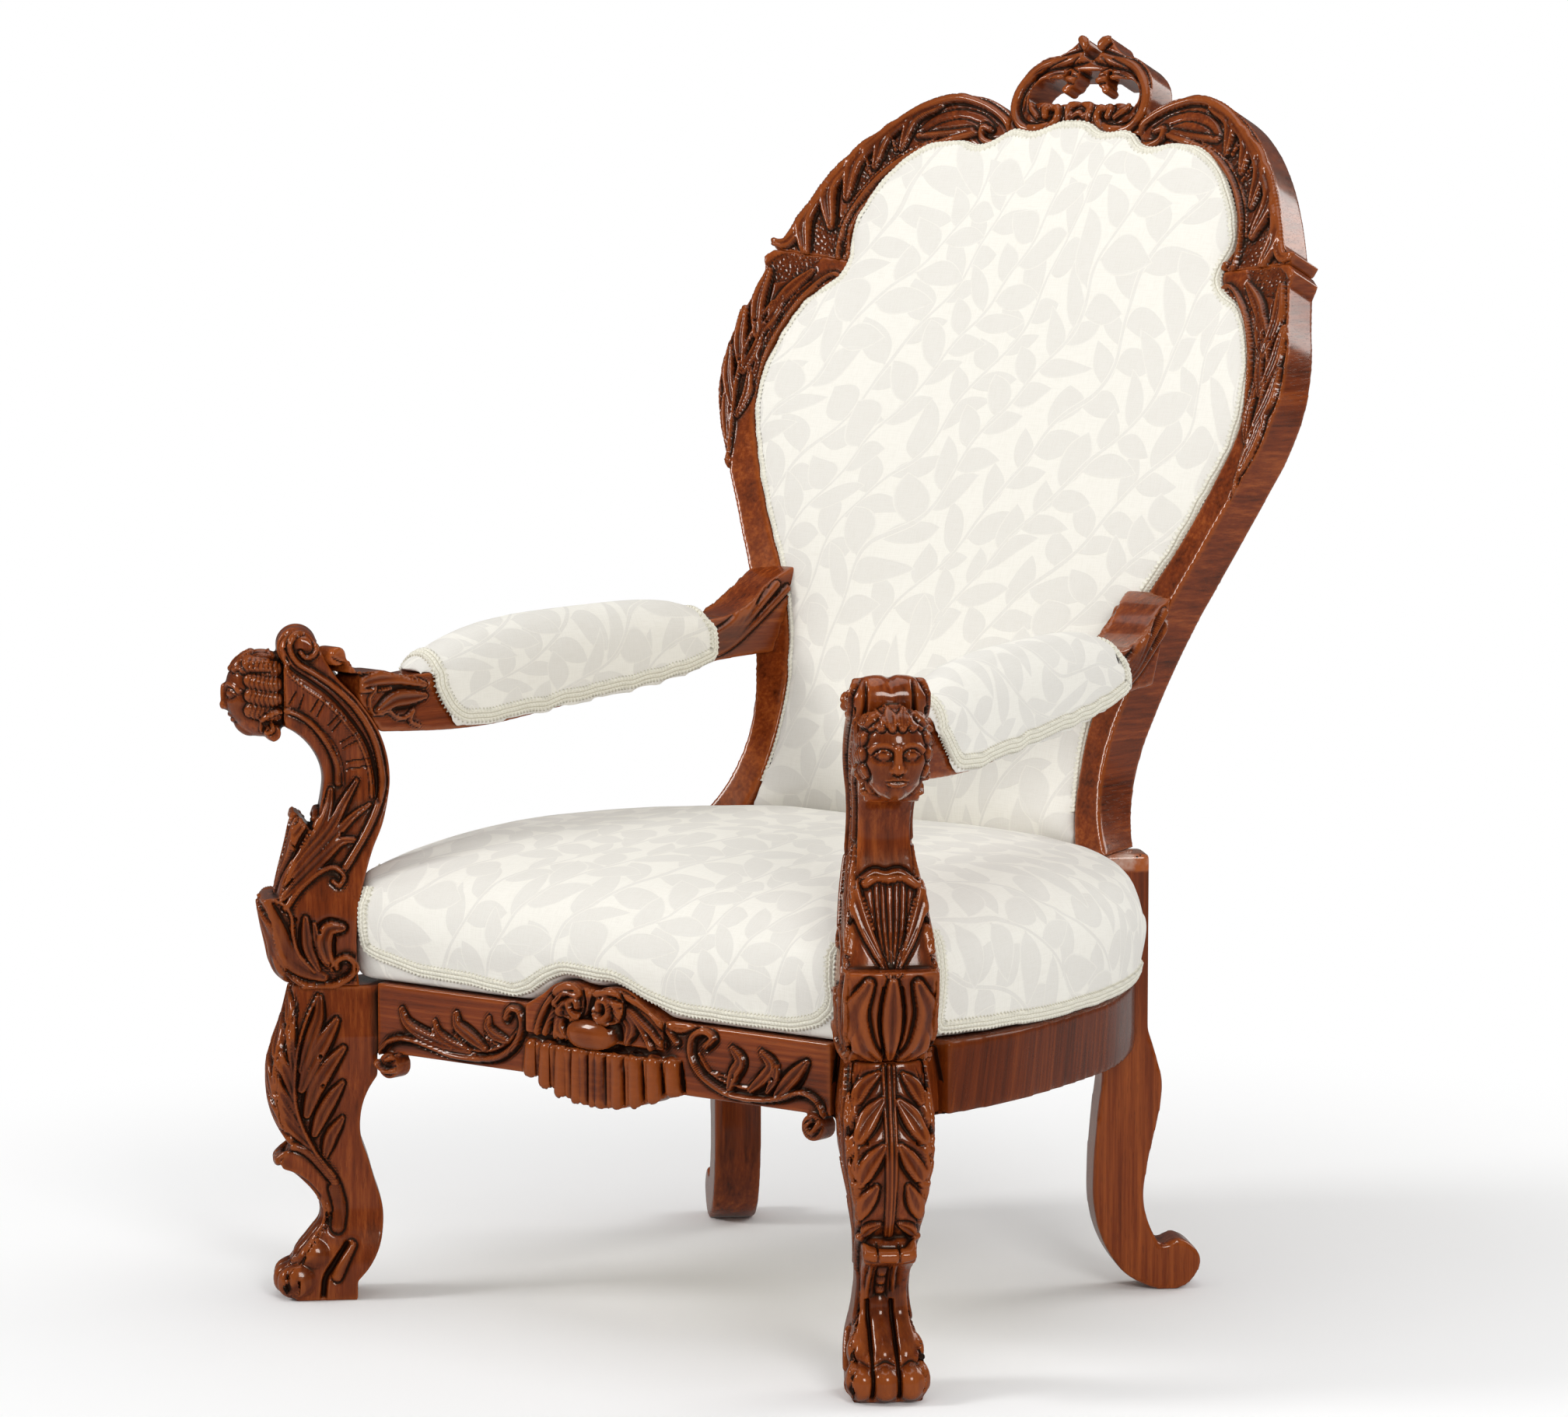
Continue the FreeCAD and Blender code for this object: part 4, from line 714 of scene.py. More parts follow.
@dataclass(frozen=True)
class Stroke:
    """One tool stroke on a flat view of its piece, in millimetres: half width, rise and path."""

    cut: Cut
    half: float
    rise: float
    path: tuple[Point, ...]

    def line(self, steps: int = 6) -> np.ndarray:
        """The path as a smooth run of points.

        Args:
            steps: Points for each stretch.

        Returns:
            The points.
        """
        points = np.array(self.path, dtype=float)
        if len(points) < 3:
            return points
        ends = np.vstack((2 * points[0] - points[1], points, 2 * points[-1] - points[-2]))
        run = []
        for before, start, end, after in zip(ends, ends[1:], ends[2:], ends[3:]):
            for t in np.arange(steps) / steps:
                bend = 2 * before - 5 * start + 4 * end - after
                twist = 3 * start - before - 3 * end + after
                run.append(0.5 * (2 * start + (end - before) * t + bend * t * t + twist * t ** 3))
        return np.array(run + [points[-1]])

    def press(self, flat: np.ndarray, raised: np.ndarray, sunk: np.ndarray, edge: np.ndarray) -> None:
        """Lays the stroke into the height fields.

        Args:
            flat: Places of the points on the view.
            raised: Height of what stands up so far.
            sunk: Depth of what is cut so far, negative.
            edge: Depth of the ground set down beside raised strokes so far, negative.
        """
        line = self.line()
        margin = self.half * 1.9
        low, high = line.min(axis=0) - margin, line.max(axis=0) + margin
        near = np.nonzero(((flat > low) & (flat < high)).all(axis=1))[0]
        if not len(near):
            return
        place = flat[near]
        gap, along = np.full(len(near), 1e9), np.zeros(len(near))
        start = 0.0
        pieces = [(line[0], line[0])] if len(line) == 1 else list(zip(line, line[1:]))
        for a, b in pieces:
            way = b - a
            length = float(np.hypot(*way))
            share = np.clip((place - a) @ way / max(length * length, 1e-9), 0, 1)
            away = place - a - share[:, None] * way
            distance = np.hypot(away[:, 0], away[:, 1])
            closer = distance < gap
            gap[closer] = distance[closer]
            along[closer] = start + share[closer] * length
            start += length
        share = along / max(start, 1e-9)
        if self.cut in (Cut.GROOVE, Cut.EYE):
            depth = -self.rise * np.clip(1 - (gap / self.half) ** 2, 0, 1) ** 0.8
            sunk[near] = np.minimum(sunk[near], depth)
            return
        if self.cut is Cut.SWELL:
            raised[near] = np.maximum(raised[near], self.rise * np.clip(1 - (gap / self.half) ** 2, 0, 1))
            return
        half = self.half * np.ones(len(near))
        if self.cut is Cut.LOBE:
            half *= 0.18 + 0.82 * np.sin(np.pi * np.clip(share * 0.84 + 0.1, 0, 1)) ** 0.8
        elif self.cut is Cut.BEAD and len(self.path) > 6:
            half *= 1 - 0.35 * share
        across = gap / half
        rise = self.rise * np.sqrt(np.clip(1 - across ** 2, 0, 1))
        if self.cut is Cut.LOBE:
            rise *= 1 - 0.55 * np.exp(-(across / 0.4) ** 2)
        elif self.cut is Cut.DROPS:
            rise *= np.abs(np.sin(np.pi * along / (2.3 * self.half)))
        raised[near] = np.maximum(raised[near], rise)
        halo = np.exp(-((np.maximum(across, 1.12) - 1.12) / 0.3) ** 2) * -0.55 * self.rise
        edge[near] = np.minimum(edge[near], halo)


def cuts(cut: Cut, half: float, rise: float, *paths: tuple[Point, ...]) -> tuple[Stroke, ...]:
    """Strokes of one kind and size.

    Args:
        cut: What they leave.
        half: Their half width.
        rise: Their rise.
        paths: The path of each.

    Returns:
        The strokes.
    """
    return tuple(Stroke(cut, half, rise, path) for path in paths)


@dataclass(frozen=True)
class Punched:
    """A ground of punched dots inside an oval, in millimetres."""

    middle: Point
    reach: Point
    turn: float = 0.0
    pitch: float = 3.4
    radius: float = 0.95
    depth: float = 1.1

    def press(self, flat: np.ndarray, raised: np.ndarray, sunk: np.ndarray, edge: np.ndarray) -> None:
        """Lays the dots into the field of ground set down beside raised strokes.

        Args:
            flat: Places of the points on the view.
            raised: Height of what stands up; not used.
            sunk: Depth of what is cut, negative; not used.
            edge: Depth of the ground set down beside raised strokes, negative.
        """
        c, s = math.cos(self.turn), math.sin(self.turn)
        off = flat - self.middle
        inside = ((off @ (c, s)) / self.reach[0]) ** 2 + ((off @ (-s, c)) / self.reach[1]) ** 2 < 1
        near = np.nonzero(inside)[0]
        cells = flat[near] / self.pitch
        best = np.full(len(near), 1e9)
        for dx in (-1, 0, 1):
            for dy in (-1, 0, 1):
                cell = np.floor(cells) + (dx, dy)
                chance = np.sin(cell @ (12.9898, 78.233)) * 43758.5453
                other = np.sin(cell @ (39.346, 11.135)) * 24634.6345
                spot = cell + 0.5 + 0.34 * np.stack((chance % 1 - 0.5, other % 1 - 0.5), axis=1) * 2
                best = np.minimum(best, np.hypot(*(cells - spot).T) * self.pitch)
        dot = -self.depth * np.clip(1 - (best / self.radius) ** 2, 0, 1) - 1.2
        edge[near] = np.minimum(edge[near], dot)


def relief(strokes: Iterable[object], flat: np.ndarray) -> np.ndarray:
    """The height that strokes give at places on a view.

    Args:
        strokes: Strokes and punched grounds.
        flat: Places, in millimetres.

    Returns:
        Heights in millimetres.
    """
    raised, sunk, edge = np.zeros((3, len(flat)))
    for stroke in strokes:
        stroke.press(flat, raised, sunk, edge)
    return raised + sunk + edge * (1 - smooth_step(raised, 0.1, 0.8))


def smooth_step(values: np.ndarray, low: float, high: float) -> np.ndarray:
    """Goes from 0 to 1 between two values.

    Args:
        values: The values.
        low: Where it is 0.
        high: Where it is 1.

    Returns:
        The steps.
    """
    share = np.clip((values - low) / (high - low), 0, 1)
    return share * share * (3 - 2 * share)


@dataclass(frozen=True)
class Roll:
    """A round body left standing on a blank: where, its radius, its length and the way it points."""

    place: tuple[float, float, float]
    radius: float
    length: float
    way: tuple[float, float, float]

    def stand(self, bm: bmesh.types.BMesh) -> None:
        """Adds the roll to a blank."""
        turn = Vector(self.way).to_track_quat("Z", "Y").to_matrix().to_4x4()
        bmesh.ops.create_cone(bm, cap_ends=True, segments=32, radius1=self.radius, radius2=self.radius,
                              depth=self.length, matrix=Matrix.Translation(self.place) @ turn)


def solid_copy(node: str, rolls: Iterable[Roll] = ()) -> bpy.types.Mesh:
    """A copy of a CAD node's mesh, with its doubled points merged.

    Args:
        node: The node's name.
        rolls: Bodies that stand on it besides.

    Returns:
        The new mesh.
    """
    bm = bmesh.new()
    bm.from_mesh(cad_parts[node].data)
    bmesh.ops.remove_doubles(bm, verts=bm.verts, dist=1e-6)
    for roll in rolls:
        roll.stand(bm)
    mesh = bpy.data.meshes.new(node + "_blank")
    bm.to_mesh(mesh)
    bm.free()
    return mesh


def evaluated(piece: bpy.types.Object, name: str) -> bpy.types.Mesh:
    """A piece's mesh with its modifiers worked in.

    Args:
        piece: The object.
        name: Name of the new mesh.

    Returns:
        The new mesh.
    """
    graph = bpy.context.evaluated_depsgraph_get()
    mesh = bpy.data.meshes.new_from_object(piece.evaluated_get(graph))
    mesh.name = name
    return mesh


def remeshed(mesh: bpy.types.Mesh, voxel: float) -> bpy.types.Mesh:
    """A closed shape as an even mesh of small squares.

    Args:
        mesh: The shape, which is used up.
        voxel: Size of the squares in metres.

    Returns:
        The new mesh.
    """
    solid = bpy.data.objects.new("solid", mesh)
    bpy.context.scene.collection.objects.link(solid)
    even = solid.modifiers.new("even", "REMESH")
    even.mode = "VOXEL"
    even.voxel_size = voxel
    fresh = evaluated(solid, mesh.name + "_even")
    bpy.data.objects.remove(solid)
    bpy.data.meshes.remove(mesh)
    return fresh


class Surface:
    """An even mesh held as arrays: places, normals and edges."""

    def __init__(self, mesh: bpy.types.Mesh) -> None:
        """Reads the mesh."""
        self.mesh = mesh
        count = len(mesh.vertices)
        self.place = np.empty(count * 3)
        mesh.vertices.foreach_get("co", self.place)
        self.place = self.place.reshape(-1, 3)
        pairs = np.empty(len(mesh.edges) * 2, dtype=np.int64)
        mesh.edges.foreach_get("vertices", pairs)
        self.pairs = pairs.reshape(-1, 2)
        self.degree = np.bincount(self.pairs.ravel(), minlength=count)
        self.worked = np.zeros(count)
        self.refresh()

    def refresh(self) -> None:
        """Writes the places back and reads the normals again."""
        self.mesh.vertices.foreach_set("co", self.place.ravel())
        self.mesh.update()
        normals = np.empty(len(self.mesh.vertices) * 3)
        self.mesh.vertex_normals.foreach_get("vector", normals)
        self.normal = normals.reshape(-1, 3)

    def around(self, values: np.ndarray) -> np.ndarray:
        """The mean of each point's neighbours.

        Args:
            values: One row for each point.

        Returns:
            The means.
        """
        a, b = self.pairs.T
        count = len(self.degree)
        columns = [values] if values.ndim == 1 else list(values.T)
        sums = [np.bincount(a, v[b], count) + np.bincount(b, v[a], count) for v in columns]
        means = np.stack(sums, axis=-1) / np.maximum(self.degree, 1)[:, None]
        return means[:, 0] if values.ndim == 1 else means

    def smooth(self, rounds: int, share: float = 0.5) -> None:
        """Evens the points out.

        Args:
            rounds: How often.
            share: How far each moves to its neighbours' mean.
        """
        for _ in range(rounds):
            self.place += (self.around(self.place) - self.place) * share
        self.refresh()

    def move(self, ways: np.ndarray, millimetres: np.ndarray) -> None:
        """Moves the points.

        Args:
            ways: Unit direction of each.
            millimetres: How far.
        """
        self.place += ways * (millimetres * MM)[:, None]
        self.worked = np.maximum(self.worked, np.clip(np.abs(millimetres), 0, 1))
        self.refresh()

    def finish(self) -> None:
        """Takes the tools' sharpest marks off, and keeps hollows and worked places for the finish's painted
        shade and darkening.
        """
        self.smooth(1, 0.35)
        self.mark_hollows()

    def mark_hollows(self, gain: float = 1.0) -> None:
        """Keeps how hollow or proud each place is, and where tools were at work, for the finish to read: it
        paints shade into hollows and a highlight onto proud places.

        Args:
            gain: How strongly.
        """
        a, b = self.pairs.T
        size = float(np.linalg.norm(self.place[a] - self.place[b], axis=1).mean())
        lean = ((self.around(self.place) - self.place) * self.normal).sum(axis=1) / size
        wide = lean
        for _ in range(5):
            wide = self.around(wide)
        broad = wide
        for _ in range(14):
            broad = self.around(broad)
        value = np.clip((lean * 2.0 + wide * 6.0 + broad * 7.0) * gain, -1, 1)
        worked_darkening = self.worked
        for _ in range(16):
            worked_darkening = self.around(worked_darkening)
        for name, values in (("hollow", value), ("worked_darkening", worked_darkening)):
            layer = self.mesh.attributes.new(name, "FLOAT", "POINT")
            layer.data.foreach_set("value", values.astype(np.float32))


def squares(voxel: float) -> float:
    return voxel * 1.0


def blank(node: str, voxel: float, rounds: int = 5, rolls: Iterable[Roll] = ()) -> Surface:
    """A CAD node as an even surface with softened edges, ready for carving.

    Args:
        node: The node's name.
        voxel: Size of its mesh squares.
        rounds: How far its edges are softened.
        rolls: Bodies that stand on it besides.

    Returns:
        The surface.
    """
    surface = Surface(remeshed(solid_copy(node, rolls), voxel))
    surface.smooth(rounds)
    return surface


def finish_piece(mesh: bpy.types.Mesh, name: str, material: bpy.types.Material,
                 nodes: Sequence[str]) -> bpy.types.Object:
    """Makes a mesh a dressed piece that rides on the chair.

    Args:
        mesh: Its mesh.
        name: Its name.
        material: Its material.
        nodes: CAD nodes that it stands for.

    Returns:
        The piece.
    """
    mesh.name = name
    for face in mesh.polygons:
        face.use_smooth = True
    piece = bpy.data.objects.new(name, mesh)
    bpy.context.scene.collection.objects.link(piece)
    dress(piece, material)
    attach(piece, "root")
    if nodes:
        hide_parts(*nodes)
    LOG.info("%s: %d faces", name, len(mesh.polygons))
    return piece


def twin(mesh: bpy.types.Mesh) -> bpy.types.Mesh:
    """The same mesh on the chair's other side.

    Args:
        mesh: The right side's mesh.

    Returns:
        The left side's mesh.
    """
    other = mesh.copy()
    places = np.empty(len(other.vertices) * 3)
    other.vertices.foreach_get("co", places)
    places[0::3] *= -1
    other.vertices.foreach_set("co", places)
    other.flip_normals()
    return other


def finish_pair(surface: Surface, name: str, material: bpy.types.Material, node: str) -> None:
    """Makes a right piece and its twin dressed wooden pieces.

    Args:
        surface: The right piece's surface.
        name: The pieces' name without the side.
        material: Their material.
        node: The CAD nodes' name without the side.
    """
    for mesh, hand in ((surface.mesh, "_right"), (twin(surface.mesh), "_left")):
        finish_piece(mesh, name + hand, material, [node + hand])


@dataclass
class Diagonal:
    """The upright plane of a right front leg, from its toe: out along it, across it, and up."""

    toe: Point = (0.350, -0.390)

    def views(self, surface: Surface) -> tuple[np.ndarray, np.ndarray, np.ndarray]:
        """Side view, front view and both directions of a surface.

        Args:
            surface: The surface.

        Returns:
            Places on the side view, places on the front view, and how far each normal points across and out.
        """
        x, y = surface.place[:, 0] - self.toe[0], surface.place[:, 1] - self.toe[1]
        out, across, up = (x - y) * math.sqrt(0.5), (x + y) * math.sqrt(0.5), surface.place[:, 2]
        side, front = np.stack((out, up), axis=1) / MM, np.stack((across, up), axis=1) / MM
        facing = surface.normal[:, :2] @ (np.array(((1, 1), (1, -1))) * math.sqrt(0.5))
        return side, front, facing


@dataclass
class FrontPosts:
    """The two front legs and arm supports, with their leaf work, paws and heads."""

    voxel: float = 0.00145
    gain: float = 1.3
    plane: Diagonal = field(default_factory=Diagonal)
    ahead: Point = (0.3, 0.7)
    shared: float = 0.6
    half: float = 30.0
    head: Point = (27.0, 570.0)
    spared: Point = (30.0, 44.0)
    top: Point = (608.0, 630.0)
    top_back: float = -40.0
    mask: Point = (37.0, 44.0)
    hair: Point = (34.0, 43.0)
    hair_back: float = 22.0
    hairline: float = 12.0

    def build(self, shop: "Workshop") -> None:
        """Carves the right pieces and their twins.

        Args:
            shop: The finishes.
        """
        self._carve("front_leg", LEG_SIDE, LEG_FRONT, shop)
        self._carve("arm_support", SUPPORT_SIDE, SUPPORT_FRONT, shop)

    def _carve(self, node: str, side: Sequence[object], front: Sequence[object], shop: "Workshop") -> None:
        """Carves one pair of pieces.

        Args:
            node: The pair's name.
            side: Strokes on its sides.
            front: Strokes on its front.
            shop: The finishes.
        """
        surface = blank(node + "_right", squares(self.voxel), 6)
        self._shape(surface)
        flat_side, flat_front, facing = self.plane.views(surface)
        beside = smooth_step(np.abs(facing[:, 0]), *CARVED)
        ahead = smooth_step(facing[:, 1], *self.ahead)
        height = relief(front, flat_front) * ahead * (1 - beside * self.shared)
        height = relief(side, flat_side) * beside + height
        height *= self.gain
        table = np.array(POST_WAIST)
        height = np.maximum(height, -1.0 - 0.9 * np.interp(flat_side[:, 1], table[:, 0], table[:, 2]))
        if node == "arm_support":
            self._face(surface, flat_side, flat_front, facing, height)
        surface.move(surface.normal, height)
        surface.finish()
        finish_pair(surface, node + "_carved", shop.carved, node)

    def _shape(self, surface: Surface) -> None:
        """Narrows the post where it is slender, and rounds its front.

        Args:
            surface: The post's surface, which is changed.
        """
        side, front, facing = self.plane.views(surface)
        table = np.array(POST_WAIST)
        share = np.interp(front[:, 1], table[:, 0], table[:, 1])
        round_off = np.interp(front[:, 1], table[:, 0], table[:, 2])
        inward = front[:, 0] * (share - 1)
        off = np.hypot(side[:, 0] - self.head[0], side[:, 1] - self.head[1])
        masked = smooth_step(off, *self.spared)
        across = np.abs(front[:, 0])
        wide = across / self.half
        bow = round_off * np.clip(wide, 0, 1.2) ** 4 * smooth_step(facing[:, 1], -0.2, 0.4)
        top = smooth_step(front[:, 1], *self.top) * (side[:, 0] > self.top_back)
        surface.place[:, 2] -= top * (2.4 * np.exp(-(across / 4.5) ** 2) + 5.5 * wide ** 4) * MM
        step = math.sqrt(0.5) * MM
        across, back = inward * step, -bow * masked * step
        surface.place[:, 0] += across + back
        surface.place[:, 1] += across - back
        surface.refresh()

    def _face(self, surface: Surface, side: np.ndarray, front: np.ndarray, facing: np.ndarray,
              height: np.ndarray) -> None:
        """Works the mask's face and hair into the heights.

        Args:
            surface: The support's surface; not used.
            side: Places on its side view.
            front: Places on its front view.
            facing: How far normals point across and out.
            height: Heights, which are changed.
        """
        out, middle = self.head
        flat = np.stack((front[:, 0], front[:, 1] - middle), axis=1)
        around = (flat[:, 0] / self.mask[0]) ** 2 + (flat[:, 1] / self.mask[1]) ** 2 < 1
        on_face = around & (side[:, 0] > out + 2)
        weight = smooth_step(facing[:, 1], 0.15, 0.5)
        height[on_face] = relief(FACE, flat[on_face]) * weight[on_face]
        beside = np.stack((side[:, 0], side[:, 1] - middle), axis=1)
        hair = ((beside[:, 0] - out) / self.hair[0]) ** 2 + (beside[:, 1] / self.hair[1]) ** 2 < 1
        hair &= beside[:, 0] > out - self.hair_back
        hair &= (np.abs(facing[:, 0]) > 0.35) & ~(on_face & (facing[:, 1] > 0.8))
        height[hair] += relief(HAIR_SIDE, beside[hair]) * smooth_step(np.abs(facing[hair, 0]), 0.35, 0.6)
        crown = around & (flat[:, 1] > self.hairline) & (side[:, 0] > out - 8)
        height[crown] += relief(HAIR_CROWN, flat[crown])


FACE = (
    *cuts(Cut.SWELL, 15, 2.0, ((-13, -10), (-12, -12)), ((13, -10), (12, -12))),
    *cuts(Cut.SWELL, 22, 1.6, ((-8, 18), (8, 18))),
    *cuts(Cut.BEAD, 2.6, 2.6, ((-3, 6), (-9, 9.5), (-17, 8), (-22, 4)), ((3, 6), (9, 9.5), (17, 8),
          (22, 4))),
    *cuts(Cut.EYE, 7.0, 3.4, ((-9, 1), (-15, 1)), ((9, 1), (15, 1))),
    *cuts(Cut.SWELL, 4.8, 5.4, ((-10, 0.5), (-14, 0.5)), ((10, 0.5), (14, 0.5))),
    *cuts(Cut.BEAD, 1.2, 4.4, ((-6, 1), (-12, 5), (-19, 1)), ((6, 1), (12, 5), (19, 1))),
    *cuts(Cut.BEAD, 1.0, 3.6, ((-7, 0), (-12, -3.4), (-18, 0)), ((7, 0), (12, -3.4), (18, 0))),
    *cuts(Cut.SWELL, 4.6, 5.6, ((0, 6), (0, -7))),
    *cuts(Cut.SWELL, 6.0, 7.4, ((0, -9.5), (0, -11))),
    *cuts(Cut.SWELL, 3.4, 4.6, ((-5, -11.5), (-4.6, -12)), ((5, -11.5), (4.6, -12))),
    *cuts(Cut.GROOVE, 1.1, 1.8, ((-3.4, -14.6), (3.4, -14.6))),
    *cuts(Cut.BEAD, 2.0, 3.0, ((-8.5, -20.5), (-3, -19), (0, -19.8), (3, -19), (8.5, -20.5))),
    *cuts(Cut.BEAD, 2.2, 3.0, ((-6.5, -23.4), (0, -24.6), (6.5, -23.4))),
    *cuts(Cut.GROOVE, 0.8, 2.2, ((-9.5, -21.5), (0, -21.7), (9.5, -21.5))),
    *cuts(Cut.SWELL, 9, 3.2, ((0, -33), (0, -34))),
)
HAIR_SIDE = tuple(
    Stroke(Cut.BEAD, 7.0, 3.4, ((14, z), (26, z + 1.5), (36, z + 4))) for z in (24, 10, -4, -18)
) + tuple(
    Stroke(Cut.GROOVE, 0.8, 1.6, ((d, z + 6.5), (d + 2.2, z), (d + 0.4, z - 6.5)))
    for z in (25, 11, -3, -17) for d in (11, 15, 19, 23, 27, 31, 35)
)
HAIR_CROWN = tuple(
    Stroke(Cut.LOBE, 6.4, 3.6, ((x * 0.72, 23), (x * 0.9, 30), (x, 37))) for x in (-30, -18, -6, 6, 18, 30)
) + tuple(
    Stroke(Cut.GROOVE, 0.7, 1.3, ((x * 0.74, 24), (x * 0.9, 30), (x, 38)))
    for x in (-33, -27, -22, -16, -10, -4, 3, 9, 15, 21, 27, 33)
)


@dataclass
class BackFrame:
    """Stiles, shoulders and crest of the back, carved on their curved face."""

    foot: Point = (0.118, 0.440)
    rake: float = math.radians(21.3)
    voxel: float = 0.0016
    crest_share: float = 0.8
    bend: float = 1.288
    gain: float = 1.45

    def flat(self, place: np.ndarray) -> tuple[np.ndarray, np.ndarray]:
        """Places on the back's face.

        Args:
            place: Points of the chair.

        Returns:
            Across and along the rake in millimetres, and the depth behind the curved face in metres.
        """
        y, z = place[:, 1] - self.foot[0], place[:, 2] - self.foot[1]
        along = y * math.sin(self.rake) + z * math.cos(self.rake)
        depth = y * math.cos(self.rake) - z * math.sin(self.rake) + place[:, 0] ** 2 / (2 * self.bend)
        return np.stack((np.abs(place[:, 0]), along), axis=1) / MM, depth

    def facing(self, normal: np.ndarray) -> np.ndarray:
        """How far normals point out of the back's face."""
        return -normal[:, 1] * math.cos(self.rake) + normal[:, 2] * math.sin(self.rake)

    def build(self, shop: "Workshop") -> None:
        """Carves the pieces.

        Args:
            shop: The finishes.
        """
        for node, strokes in (("back_stile", STILE), ("back_shoulder", SHOULDER)):
            surface = self._carve(blank(node + "_right", squares(self.voxel)), strokes)
            finish_pair(surface, node + "_carved", shop.raked, node)
        rolls = [self.roll(*row) for row in CREST_ROLLS]
        rolls += [self.roll(-row[0], *row[1:]) for row in CREST_ROLLS]
        crest = self._carve(blank("back_crest", squares(self.voxel * self.crest_share), rolls=rolls), CREST)
        finish_piece(crest.mesh, "back_crest_carved", shop.raked, ["back_crest"])

    def roll(self, x: float, along: float, radius: float, proud: float, length: float) -> Roll:
        """A roll that stands square on the back's face.

        Args:
            x: Across, in millimetres.
            along: Up the rake, in millimetres.
            radius: Its radius in millimetres.
            proud: How far it stands out of the face.
            length: Its length.

        Returns:
            The roll.
        """
        s, c = math.sin(self.rake), math.cos(self.rake)
        depth = (length / 2 - proud - x * x * MM / (2 * self.bend)) * MM
        along *= MM
        place = (x * MM, self.foot[0] + along * s + depth * c, self.foot[1] + along * c - depth * s)
        return Roll(place, radius * MM, length * MM, (0.0, c, -s))

    def _carve(self, surface: Surface, strokes: Sequence[object]) -> Surface:
        """Carves one piece's face.

        Args:
            surface: Its blank, which is changed.
            strokes: Its strokes.

        Returns:
            The same surface.
        """
        flat, _ = self.flat(surface.place)
        ahead = smooth_step(self.facing(surface.normal), *CARVED)
        surface.move(surface.normal, relief(strokes, flat) * ahead * self.gain)
        surface.finish()
        return surface


@dataclass
class FrontRail:
    """The front rail, with leaf scrolls, plumes over an oval, and a fluted shell."""

    voxel: float = 0.00145
    gain: float = 1.7

    def build(self, shop: "Workshop") -> None:
        """Carves the rail.

        Args:
            shop: The finishes.
        """
        surface = blank("front_rail", squares(self.voxel))
        flat = surface.place[:, [0, 2]] / MM
        ahead = smooth_step(-surface.normal[:, 1], *CARVED)
        surface.move(surface.normal, relief(RAIL_LEAF + RAIL_HEART + RAIL_SHELL, flat) * ahead * self.gain)
        surface.finish()
        finish_piece(surface.mesh, "front_rail_carved", shop.rail, ["front_rail"])


@dataclass
class Arms:
    """The arms' wood, with carved fronts and fluted ears."""

    voxel: float = 0.0016
    front: Point = (0.300, -0.330)
    rear: Point = (0.228, 0.170)
    gain: float = 1.5
    nose: Point = (-0.006, 0.010)
    nose_level: Point = (0.588, 0.600)
    nose_back: float = 0.012
    nose_down: float = 0.008
    beside: Point = (0.3, 0.6)

    def build(self, shop: "Workshop") -> None:
        """Carves both arms.

        Args:
            shop: The finishes.
        """
        surface = blank("arm_right", squares(self.voxel))
        way, side = self.axes()
        along = (surface.place[:, :2] - self.front) @ way
        lift = smooth_step(-along, *self.nose) * smooth_step(surface.place[:, 2], *self.nose_level)
        surface.place[:, :2] -= way * (lift * self.nose_back)[:, None]
        surface.place[:, 2] -= lift * self.nose_down
        surface.refresh()
        along = (surface.place[:, :2] - self.front) @ way
        flat = np.stack((along, surface.place[:, 2]), axis=1) / MM
        beside = smooth_step(np.abs(surface.normal[:, :2] @ side), *self.beside)
        surface.move(surface.normal, relief(ARM_SIDE + ARM_EAR, flat) * beside * self.gain)
        surface.finish()
        finish_pair(surface, "arm_carved", shop.arm, "arm")

    def axes(self) -> tuple[np.ndarray, np.ndarray]:
        """The right arm's level directions: backwards along it, and outwards across it."""
        way = np.array(self.rear) - self.front
        way /= np.hypot(*way)
        return way, np.array((way[1], -way[0]))


@dataclass
class PlainRails:
    """Side rails and rear legs: sawn pieces with softened edges."""

    voxel: float = 0.0030

    def build(self, shop: "Workshop") -> None:
        """Softens the pieces.

        Args:
            shop: The finishes.
        """
        for node, material in (("side_rail", shop.veneer), ("rear_leg", shop.ledge)):
            surface = blank(node + "_right", self.voxel, 4)
            surface.mark_hollows(0.5)
            finish_pair(surface, node + "_soft", material, node)


ARM_EAR = cuts(Cut.BEAD, 4.2, 2.6, *(
    ((392 + 4 * k, 572 + 5 * k), (428 + 3 * k, 580 + 7 * k), (462 - 2 * k, 600 + 9 * k),
     (506 - 13 * k, 634 + 5 * k))
    for k in range(5)
))
POST_WAIST = (
    (0, 0.94, 5), (29, 0.94, 6), (60, 0.92, 7), (94, 0.86, 7), (125, 0.88, 3), (142, 0.90, 1.5),
    (160, 0.93, 4), (175, 0.96, 6), (215, 1.06, 7), (250, 1.06, 7), (290, 0.92, 6), (300, 0.90, 6),
    (325, 1.02, 7), (360, 1.05, 5), (378, 1.03, 1.5), (395, 0.98, 1.5), (415, 0.95, 4), (440, 0.90, 1),
    (470, 0.84, 1), (490, 0.84, 4), (525, 0.84, 5), (600, 0.92, 4), (640, 0.93, 3),
)
CREST_ROLLS = (
    (46, 703, 13, 2.5, 30), (21, 709, 8.5, 1.5, 24), (19, 741, 5.5, 0.5, 22), (24, 734, 4.5, 0, 20),
    (17, 748, 5.5, 0.5, 24), (13.5, 780, 7, 1.5, 30),
)
